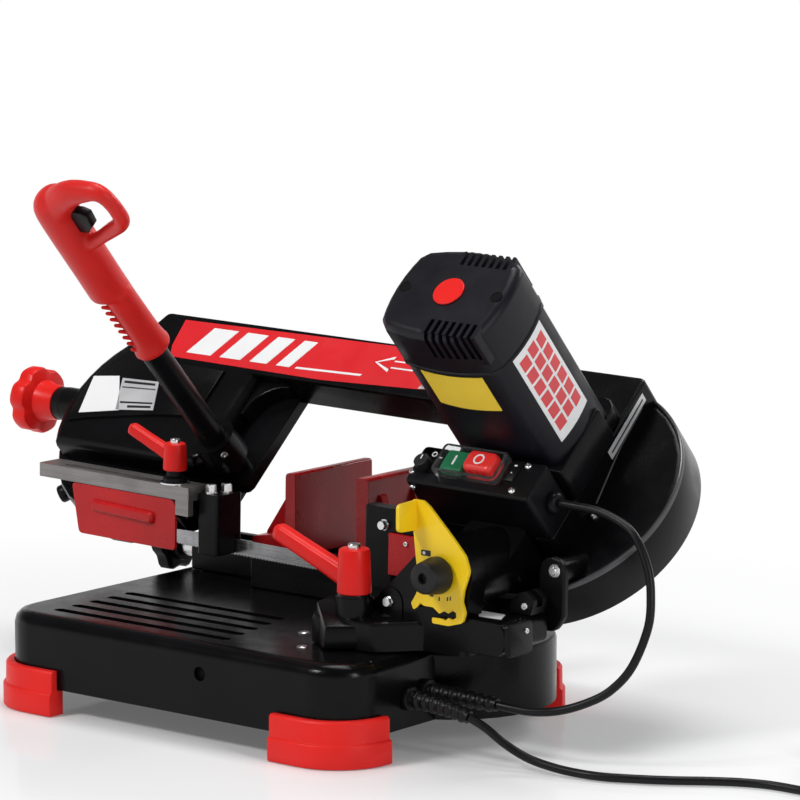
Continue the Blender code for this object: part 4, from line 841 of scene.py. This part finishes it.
def make_knobs():
    """The lobed tension knob on its hub, and the selector's tapered knob with its socket."""
    hub = [(polar(14, 96), -18.4), (polar(15.4, 96), -8), (polar(17.4, 96), -1.2)]
    rim = [(lobed(24.6, 2.0), 0), (lobed(26.9, 2.8), 0.9), (lobed(28, 3.2), 3), (lobed(28, 3.2), 12.4),
           (lobed(27.2, 3.0), 14.4), (lobed(25, 2.2), 15.7), (polar(19, 96), 16), (polar(4, 96), 16)]
    tension = Shape(BOW).layers(hub + rim, face((-525, 0, TENSION_N), LEFT, BACK))
    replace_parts(tension.finish("tension_knob_shell", "tension_knob", "red"), "tension_knob")
    profile = [(13, 0), (13.8, 0.6), (14, 1.8), (13.7, 5), (12.3, 14), (11.7, 17.2), (11.1, 18.5),
               (10, 19.1), (4.4, 19.2), (4, 18.8), (3.8, 14.5)]
    selector = Shape(SAW).turned(profile, face((HINGE.x, -58.3, HINGE.z), FRONT), 48)
    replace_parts(selector.finish("selector_knob_shell", "selector_knob", "knob"), "selector_knob")


def make_case_end():
    """The spring case's end plate and its bolt."""
    plate, bolt = face((252, -37, 93), RIGHT, BACK), face((255, -31, 98), RIGHT, BACK)
    Shape(SAW).slab(panel(30, 25, 5), -0.5, 3.0, plate, 1.2).finish("case_end", "mitre_arm", "iron")
    Shape(SAW).socket_screw(bolt, 2.0, 1.6).finish("case_bolt", "mitre_arm", "zinc")


def make_dish_rim():
    """A smooth skin on the drive dish's wall, and the raised lip along its front, painted pale grey as a
    painted highlight line.
    """
    first, last, steps = -100, 66, 64
    lip = [(98.8, 27.2), (99, 28.6), (99.6, 29.5), (100.4, 29.8), (101.2, 29.4), (101.6, 28.4), (101.6, 24),
           (98.8, 24)]
    wall = [(101.5, 27), (101.7, 24), (101.7, RIM_BACK + 1), (101.2, RIM_BACK), (99, RIM_BACK), (99, 27)]
    angles = [math.radians(first + (last - first) * k / steps) for k in range(steps + 1)]
    for name, section, look in (("dish_lip", lip, "edge"), ("dish_wall", wall, "casting")):
        rings = [[(*around(r, angle), n) for r, n in section] for angle in angles]
        Shape(BOW).rings(rings).finish(name, "head", look)


def make_gearbox():
    """The flat-sided gearbox between the bow and the motor."""
    side, top = panel(98, 63, 2.5), panel(96.4, 61.4, 2.5)
    shape = Shape(BOW).layers([(side, 52), (side, 83), (top, 84.2)], face((-5.5, 8.5, 0)))
    shape.finish("gearbox_case", "head", "iron", edge=0.8)


def make_lever(node, layout, hub, low, high, radius, root, tip):
    """A clamping lever: a round hub and a straight, flat arm that rises to a rounded end."""
    tall = high - low
    profile = [(0.93, 0), (1.0, 0.9), (1.0, 3), (0.96, tall * 0.5), (0.91, tall - 2.4), (0.86, tall - 0.8),
               (0.74, tall), (0.4, tall)]
    shape = Shape(layout).turned([(radius * share, w) for share, w in profile], face((*hub, low)), 40)
    start, end = Vector((*hub, root)), Vector(tip)
    length, thick = (end - start).length, radius * 0.53
    taper = ((0.04, 1.18), (0.3, 1.06), (0.7, 0.98), (0.92, 0.98), (0.965, 0.9), (0.99, 0.68), (1.0, 0.4))
    arm = [(squircle(thick * wide, thick * 0.94 * wide), length * share) for share, wide in taper]
    shape.layers(arm, face(start, end - start, UP))
    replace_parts(shape.finish(node + "_shell", node, "red"), node)


def make_levers():
    """Both clamping levers, the guide lever's neck and the mitre lever's seat."""
    make_lever("mitre_lever", SAW, MITRE_STUD, 114.2, 148, 12.9, 122.9, (45, -62, 152.6))
    make_lever("guide_lever", HEAD, GUIDE_STUD, 161.5, 183.4, 9.6, 171.5, (-171, 12, 191))
    neck = [(8.2, 155.5), (8.4, 156.4), (6.8, 157.4), (6.6, 162.5)]
    Shape(HEAD).turned(neck, face((*GUIDE_STUD, 0)), 32).finish("guide_neck", "head", "plastic")
    seat = [(12.4, 111), (12.4, 113.4), (11.8, 115)]
    Shape(SAW).turned(seat, face((*MITRE_STUD, 0)), 32).finish("lever_seat", "mitre_arm", "bench")


def make_selector_plate():
    """The feed selector: a plate with a curved back, an open notched foot and a bent finger flange."""
    flange = rounded([(-77, 167, 4), (-54, 166, 0), (-54, 188.4, 0), (-77, 187.4, 4)])
    shape = Shape(SAW).slab(rounded(SELECTOR), 53.5, 56.5, face(out=FRONT), 0.5)
    shape.slab(flange, 171.6, 174.6, face(out=RIGHT, along=BACK), 0.5)
    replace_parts(shape.finish("selector_shell", "feed_selector", "yellow"), "selector_plate")


def make_arm_block():
    """The sloped block under the mitre lever, on the arm's deck."""
    low = 76.6
    foot = [(89, -70.5, low), (118, -96, low), (152, -69, low), (152, -50, low), (97, -44, low)]
    top = [(90.5, -69.5, 105.5), (118.5, -93.5, 93), (150, -68.5, 93.5), (150, -50, 98.7), (98, -46, 110.5)]
    Shape(SAW).rings([foot, top]).finish("arm_block", "mitre_arm", "bench", edge=1.6)


def bowed_arc(facing, low, high, proud):
    """Points along a bowed side of the motor, between two offsets from the side's middle."""
    reach, radius = MOTOR_BOWS[facing % 180]
    turn = math.radians(facing)
    x, v = around(reach - radius, turn)
    first, last = math.asin(low / radius), math.asin(high / radius)
    arc = [around(radius + proud, turn + first + (last - first) * k / 8) for k in range(9)]
    return [(MOTOR_X + x + a, MOTOR_V + v + b) for a, b in arc]


def make_seams():
    """The lip where the motor's cap meets its body, and a near-black disc of painted shade set in the base's
    front hole.
    """
    seam, grow = 190.0, 1.7
    outline = []
    for facing, half in ((0, 30.0), (90, 39.0), (180, 30.0), (270, 39.0)):
        outline += bowed_arc(facing, -half, half, grow)
    Shape(BOW).slab(outline, seam - 0.6, seam + 2.2, face(), 0.7).finish("cap_lip", "head", "motor")
    # Painted shade: a near-black disc behind the hole's mouth stands for the dark inside of the base
    plug = face((32, -130.5, 53), FRONT)
    Shape(SAW).turned([(5.4, 0), (5.4, 1.2), (4.6, 1.6)], plug).finish("hole_shade_disc", "base", "hole")


make_feet()
make_grip()
make_trigger()
make_knobs()
make_case_end()
make_dish_rim()
make_gearbox()
make_levers()
make_selector_plate()
make_arm_block()
make_seams()


# Plain films and marks

BEAM_FACE = face((0, 0, BEAM_FRONT))
FILM, SUNK = 0.25, -0.1


def film(name, layout, outlines, where, look, body="head", slot=None, low=0.0):
    """Thin flat patches on one face."""
    shape = Shape(layout)
    for outline in outlines:
        shape.slab(outline, low + SUNK, low + FILM, where)
    return shape.finish(name, body, look, slot)


def inside(quad, u0, v0, u1, v1):
    """A smaller four-sided patch, in shares of a quad given from its top left round to its bottom left."""
    a, b, c, d = (Vector(p) for p in quad)
    corners = ((u0, v0), (u1, v0), (u1, v1), (u0, v1))
    return [tuple(a.lerp(b, u).lerp(d.lerp(c, u), v)) for u, v in corners]


def arrow(tip, length, half, shaft):
    """A plain arrow that points to smaller x."""
    x, v = tip
    neck = x + length * 0.42
    return [(x, v), (neck, v - half), (neck, v - shaft), (x + length, v - shaft), (x + length, v + shaft),
            (neck, v + shaft), (neck, v + half)]


def make_beam_film():
    """The red film on the beam: plain slanted bars, a direction arrow and a white corner."""
    red = [(-418, 90.4), (-415, 63.5), (-410, 52), (-249.5, 50.4), (-156, 55), (-133, 57.6), (-189, 93.3)]
    film("beam_film", BOW, [red], BEAM_FACE, "red_film")
    low, high, slant = 58.0, 86.0, 13.0
    bars = [[(x, low), (x + wide, low), (x + wide + slant, high), (x + slant, high)]
            for x, wide in ((-396, 26), (-360, 22), (-328, 18), (-300, 14))]
    bars.append([(-280, 57.5), (-214, 59.5), (-213, 61.5), (-279, 59.5)])
    film("beam_bars", BOW, bars, BEAM_FACE, "white", low=FILM)
    film("beam_arrow", BOW, [arrow((-208, 75), 40, 8.0, 4.0)], BEAM_FACE, "white", low=FILM)
    film("beam_arrow_core", BOW, [arrow((-205, 75), 35.4, 5.4, 2.5)], BEAM_FACE, "red_film", low=2 * FILM)
    film("beam_corner", BOW, [[(-154, 55.6), (-131.5, 57.2), (-149, 69)]], BEAM_FACE, "white")


def bowed_strip(facing, low, high, proud):
    """The section of a film on a bowed side of the motor."""
    thick = 0.8
    return bowed_arc(facing, low, high, proud) + bowed_arc(facing, low, high, proud - thick)[::-1]


def make_motor_films():
    """A white panel of plain red blocks on the motor's side, and a yellow patch on its front."""
    low, high, left, right = 97.0, 189.2, -21.4, 18.6
    sheet = bowed_strip(0, left, right, 0.4)
    Shape(BOW).slab(sheet, low, high, face()).finish("motor_panel", "head", "white")
    blocks = Shape(BOW)
    columns, rows = 3, 6
    wide, tall = (right - left - 5.0) / columns, (high - low - 14.0) / rows
    for column in range(columns):
        for row in range(rows):
            start = left + 3.4 + wide * column
            foot = low + 9.0 + tall * row + 2.0 * (column % 2)
            blocks.slab(bowed_strip(0, start, start + wide - 2.4, 0.6), foot, foot + tall - 2.6, face())
    blocks.finish("motor_panel_blocks", "head", "pale_red")
    patch = bowed_strip(270, -27.0, 29.0, 0.4)
    Shape(BOW).slab(patch, 149.6, 186.4, face()).finish("motor_patch", "head", "yellow_film")


def make_housing_films():
    """The raised band over the idler housing, with a white patch of painted reflection for the glare on a
    silver label, and a plain lined silver one.
    """
    top = HOUSING_FRONT + 2.4
    rim = [around(HOUSING_ROUND, math.radians(angle)) for angle in range(134, 199, 8)]
    band = [(HOUSING_X + x, v) for x, v in rim]
    band += [(-450, -20), (-390, -8), (-374, -6), (-346, -3), (-346, 45), (-421, 45), (-441, 57)]
    Shape(BOW).slab(band, HOUSING_FRONT - 0.3, top, face(), 1.2).finish("housing_band", "head", "casting")
    front = face((0, 0, top))
    # Painted reflection: this patch is white for the glare on a silver label
    glare_outline = [(-472, 20), (-446, 24), (-424, -9.5), (-463, -18)]
    film("housing_glare_patch", BOW, [glare_outline], front, "white", slot="bright_steel")
    lined = [(-441.5, 22.5), (-402.5, 24), (-390, -4.5), (-428, -9.5)]
    film("housing_lined", BOW, [lined], front, "silver")
    bars = [inside(lined, 0.08, 0.08, 0.92, 0.15), inside(lined, 0.05, 0.27, 0.95, 0.3),
            inside(lined, 0.08, 0.74, 0.95, 0.79), inside(lined, 0.3, 0.86, 0.92, 0.93)]
    film("housing_lines", BOW, bars, front, "ink", low=FILM)


def make_strips():
    """Plain pale strips on the motor mount and the spring case, and a thin pale bead along the mount's edge
    that is a painted highlight.
    """
    side = face((MOUNT_SIDE, 0, 0), RIGHT, BACK)
    strip = [(27, 38.6), (85, 39.3), (85, 47.2), (27, 47.2)]
    film("mount_strip", BOW, [strip], side, "silver", slot="bright_steel")
    film("mount_strip_line", BOW, [[(30, 42.2), (82, 42.5), (82, 43.8), (30, 43.6)]], side, "ink", low=FILM)
    # A thin pale bead laid along the mount's edge as a painted highlight line
    bead = [(MOUNT_SIDE, v, n) for v, n in ((-8, 29), (26, 35.2), (40, 37.4), (78, 38.6))]
    Shape(BOW).tube(bead, 0.8, 10).finish("mount_edge_highlight", "head", "edge")
    case = [(208, -25.5), (233, -26.5), (240.5, -41.5), (221, -42.5)]
    film("case_strip", SAW, [case], face((0, 0, 106)), "white", "mitre_arm")


def make_switch_marks():
    """Line and ring on the buttons, dial marks and the small window beside the switch."""
    film("start_mark", BOW, [panel(1.7, 8.5, 0.4)], face((-35.2, -39.8, 104)), "white", "start_button")
    ring = Shape(BOW).washer(face((-9.5, -39.8, 110)), 3.3, 4.6, SUNK, FILM)
    ring.finish("stop_mark", "stop_button", "white")
    marks = Shape(BOW).washer(face((-60.3, -33.6, BOX_TOP)), 1.5, 2.3, SUNK, FILM)
    dash = [(-56, -36.4), (-52.6, -36.4), (-52.6, -35.4), (-56, -35.4)]
    marks.slab(dash, SUNK, FILM, face((0, 0, BOX_TOP)))
    marks.slab(panel(2.6, 1.4, 0.5), 1.0, 1.0 + FILM, face((15.4, -33, BOX_TOP)))
    marks.slab(panel(1.1, 1.1, 0.4), 1.0, 1.0 + FILM, face((14.8, -39.6, BOX_TOP)))
    marks.finish("switch_marks", "head", "white")
    window = Shape(BOW).slab(panel(10, 18.5, 1.2), -0.2, 1.1, face((15.2, -38, BOX_TOP)), 0.6)
    window.finish("switch_window", "head", "plastic")
    pointer = Shape(BOW).slab(panel(0.9, 4.0, 0.3), -0.3, FILM, face((-64.5, -41.8, 104.6)))
    pointer.finish("dial_pointer", "speed_dial", "white")


def make_selector_marks():
    """Plain dark marks on the selector plate, and one white dot."""
    front = -56.5
    marks = Shape(SAW)
    for x, z, wide, tall in ((183.2, 150.4, 8.6, 4.2), (188.4, 119.9, 3.4, 2.2), (195.5, 117.9, 1.0, 3.0),
                             (203.2, 118.8, 1.0, 3.0), (205.8, 119.4, 1.0, 3.0)):
        marks.slab(panel(wide, tall, 0.4), SUNK, FILM, face((x, front, z), FRONT))
    marks.finish("selector_marks", "feed_selector", "ink")
    profile = [(1.3, 0), (1.3, 2 * FILM), (1.0, 3 * FILM)]
    dot = Shape(SAW).turned(profile, face((181.6, front, 150.4), FRONT), 16)
    dot.finish("selector_dot", "feed_selector", "white")


make_beam_film()
make_motor_films()
make_housing_films()
make_strips()
make_switch_marks()
make_selector_marks()


# Fasteners and small fittings; each head has its spot, way out, way along and sizes

FASTENERS = [
    ("bow_screws", "head", BOW, [
        (Shape.cross_screw, (23.4, -54.6, BOX_TOP), UP, (1, 0.4, 0), 2.9, 1.8),
        (Shape.cross_screw, (25, -31, BOX_TOP), UP, (1, 0.4, 0), 2.9, 1.8),
        (Shape.cross_screw, (-70.9, -52.2, BOX_TOP), UP, (1, 0.4, 0), 2.3, 1.8),
        (Shape.cross_screw, (-68.5, BOX_SIDE, 91), FRONT, RIGHT, 2.6, 1.6),
        (Shape.socket_screw, (45, -19.3, DISH_FRONT), UP, RIGHT, 2.8, 2.4),
        (Shape.socket_screw, (-285.84, -40.62, 61.5), (0.8, -0.6, 0), UP, 2.8, 1.6)]),
    ("head_bolts", "head", HEAD, [
        (Shape.hex_bolt, (255, 4, 138.2), FRONT, RIGHT, 3.0, 3.6, 5.0),
        (Shape.hex_bolt, (86, 16, 147), FRONT, UP, 3.3, 5.0, 4.4),
        (Shape.socket_screw, (110, 12.5, 136), FRONT, RIGHT, 1.8, 1.6),
        (Shape.washer, (*GUIDE_STUD, 0), UP, RIGHT, 9.7, 12.2, 151.1, 152.2)]),
    ("guide_screws", "blade_guide", HEAD, [
        (Shape.hex_bolt, (-94.5, 22.5, 146), UP, (1, 0.3, 0), 3.7, 7.5, 5.0),
        (Shape.hex_bolt, (-88.5, 34, 146), UP, (1, 0.3, 0), 3.7, 7.5, 5.0)]),
    ("arm_bolts", "mitre_arm", SAW, [
        (Shape.socket_screw, (245.5, -19, 113), FRONT, RIGHT, 2.6, 2.0),
        (Shape.hex_bolt, (146, -53, 109.2), FRONT, (1, 0, 0.2), 3.3, 4.0, 4.0)]),
    ("mitre_lever_screw", "mitre_lever", SAW, [
        (Shape.socket_screw, (*MITRE_STUD, 148), UP, RIGHT, 5.0, 3.2)]),
    ("guide_lever_screw", "guide_lever", HEAD, [
        (Shape.socket_screw, (*GUIDE_STUD, 183.4), UP, RIGHT, 4.0, 3.2)]),
    ("base_screws", "base", SAW, [
        (Shape.cross_screw, (64.8, -53.8, 75), UP, (1, 0.5, 0), 4.4, 1.0),
        (Shape.cross_screw, (96, -93, 75), UP, (1, 0.5, 0), 4.4, 1.0),
        (Shape.hex_bolt, (52, 90, 117.4), (0.14, 0, 1), BACK, 4.5, 5.5, 7.0),
        (Shape.hex_bolt, (52, 125, 117.4), (0.14, 0, 1), BACK, 4.5, 5.5, 7.0)]),
    ("handwheel_screw", "vise_screw", SAW, [
        (Shape.socket_screw, (-204, 92, 91), LEFT, BACK, 5.0, 2.4)]),
]


def make_fasteners():
    """Bright screws, bolts and a washer, gathered into one piece for each body."""
    for name, body, layout, heads in FASTENERS:
        shape = Shape(layout)
        for add_head, spot, out, along, *sizes in heads:
            add_head(shape, face(spot, out, along), *sizes)
        shape.finish(name, body, "zinc")


def make_back():
    """The rear cover's raised rings and screws, and the round nut on its left edge."""
    rings, screws = Shape(BOW), Shape(BOW)
    for x, radius, rim, angles in ((-WHEEL_SPAN, 66.0, IDLER_RIM, (110, 165, 220, 275)),
                                   (0.0, 72.0, RIM_RADIUS, (70, 15, -40, -95))):
        section = [(radius, -0.2), (radius - 1.2, 1.2), (radius - 3, 1.6), (radius - 9, 1.6),
                   (radius - 10.8, 1.2), (radius - 12, -0.2)]
        rings.hoop(section, face((x, 0, COVER_BACK), DOWN), 64)
        for angle in angles:
            u, v = around(rim - 9, math.radians(angle))
            screws.hex_bolt(face((x + u, v, COVER_BACK), DOWN), 3.0, 3.2, 4.6)
    rings.finish("cover_rings", "head", "casting")
    screws.finish("cover_screws", "head", "zinc")
    away = Vector((*around(1.0, math.radians(221.5)), 0))
    profile = [(4, -1), (4, 2), (7, 2.6), (7.4, 4), (7.4, 8), (6.6, 9.2), (3.5, 9.8)]
    nut = Shape(BOW).turned(profile, face(Vector((-WHEEL_SPAN, 0, 4)) + away * IDLER_RIM, away, UP))
    nut.finish("cover_nut", "head", "plastic")


def make_caps():
    """Screw wells of the motor cap, painted near black as the shade inside them, and the tension knob's
    centre.
    """
    wells = Shape(BOW)
    for x, v in ((-48, 17), (34, 18)):
        wells.turned([(4.9, -0.2), (4.7, 0.25), (4.1, 0.35), (3.8, 0.05)], face((x, v, MOTOR_TOP)))
    wells.finish("cap_wells", "head", "hole", "black_plastic")
    profile = [(11, -0.2), (11, 0.6), (10, 1.6), (7.5, 2.3), (3, 2.7)]
    centre = Shape(BOW).turned(profile, face((-541, 0, TENSION_N), LEFT, BACK))
    centre.finish("tension_knob_centre", "tension_knob", "red")


make_fasteners()
make_back()
make_caps()


# Camera, floor and light

def make_camera():
    data = bpy.data.cameras.new("camera")
    camera = bpy.data.objects.new("camera", data)
    bpy.context.scene.collection.objects.link(camera)
    azimuth, elevation = math.radians(38.6), math.radians(8.7)
    level, drop = around(1.0, elevation)
    right = Vector((*around(1.0, azimuth), 0))
    ahead = Vector((-math.sin(azimuth) * level, math.cos(azimuth) * level, -drop))
    matrix = Matrix((right, right.cross(ahead), -ahead)).transposed().to_4x4()
    matrix.translation = SAW @ Vector((1878.9, -2211.0, 682.4))
    camera.matrix_world = matrix
    data.lens = 172.8
    data.sensor_width = 36.0
    data.clip_end = 60.0
    bpy.context.scene.camera = camera


def lamp(name, spot, target, size, power):
    data = bpy.data.lights.new(name, "AREA")
    data.shape = "RECTANGLE"
    data.size, data.size_y = size
    data.energy = power
    item = bpy.data.objects.new(name, data)
    bpy.context.scene.collection.objects.link(item)
    item.location = spot
    item.rotation_euler = (Vector(target) - Vector(spot)).to_track_quat("-Z", "Y").to_euler()
    item.visible_camera = False


def make_floor():
    """A pale floor with a faint sheen, which fades to white away from the saw."""
    bpy.ops.mesh.primitive_plane_add(size=40, location=(0, 0, -0.0004))
    floor = bpy.context.object
    floor.name = "floor"
    g = Graph(bpy.data.materials.new("floor_white"))
    g.set(Base_Color=(0.88, 0.88, 0.885, 1.0), Roughness=0.6, Specular_IOR_Level=0.0)
    sheen = g.add("ShaderNodeBsdfGlossy")
    g.link(g.spread(g.noise(3.0), 0.05, 0.09), sheen.inputs["Roughness"])
    grazing = g.add("ShaderNodeFresnel", {"IOR": 1.2})
    polish = g.spread(grazing.outputs[0], 0.0, 0.7, (0.0, 1.0))
    polished = g.mix(polish, g.shader.outputs[0], sheen.outputs[0])
    reach = g.add("ShaderNodeVectorMath", operation="LENGTH")
    g.link(g.coords, reach.inputs[0])
    far = g.spread(reach.outputs["Value"], 0.12, 1.0, (0.3, 0.75))
    glow = g.add("ShaderNodeEmission", {"Strength": 1.0})
    faded = g.mix(g.math("MULTIPLY", far, g.seen()), polished, glow.outputs[0])
    g.link(faded, g.tree.nodes["Material Output"].inputs["Surface"])
    floor.data.materials.append(g.owner)


def make_world():
    """White where it is seen or mirrored near the horizon, dimmer overhead, and a soft fill for the rest."""
    scene = bpy.context.scene
    scene.world = bpy.data.worlds.new("studio")
    g = Graph(scene.world, "Background")
    g.set(Color=(0.8, 0.82, 0.85, 1.0), Strength=0.24)
    white = g.add("ShaderNodeBackground", {"Strength": 1.0})
    axes = g.add("ShaderNodeSeparateXYZ")
    g.link(g.spots["Generated"], axes.inputs[0])
    g.link(g.spread(axes.outputs["Z"], 1.0, 0.16, (0.08, 0.4)), white.inputs["Color"])
    sky = g.mix(g.seen(), g.shader.outputs[0], white.outputs[0])
    g.link(sky, g.tree.nodes["World Output"].inputs["Surface"])
    scene.view_settings.view_transform = "Standard"


make_camera()
make_floor()
make_world()
lamp("key", (-0.7, -1.7, 1.9), (0, 0, 0.15), (0.6, 0.45), 29)
lamp("side", (2.1, -0.5, 1.0), (0.1, 0, 0.15), (0.35, 0.9), 12)
lamp("top", (0.0, 0.3, 2.2), (0, 0, 0), (1.3, 0.8), 25)
lamp("rim", (0.5, 2.0, 1.4), (0, 0, 0.2), (1.2, 0.5), 16)
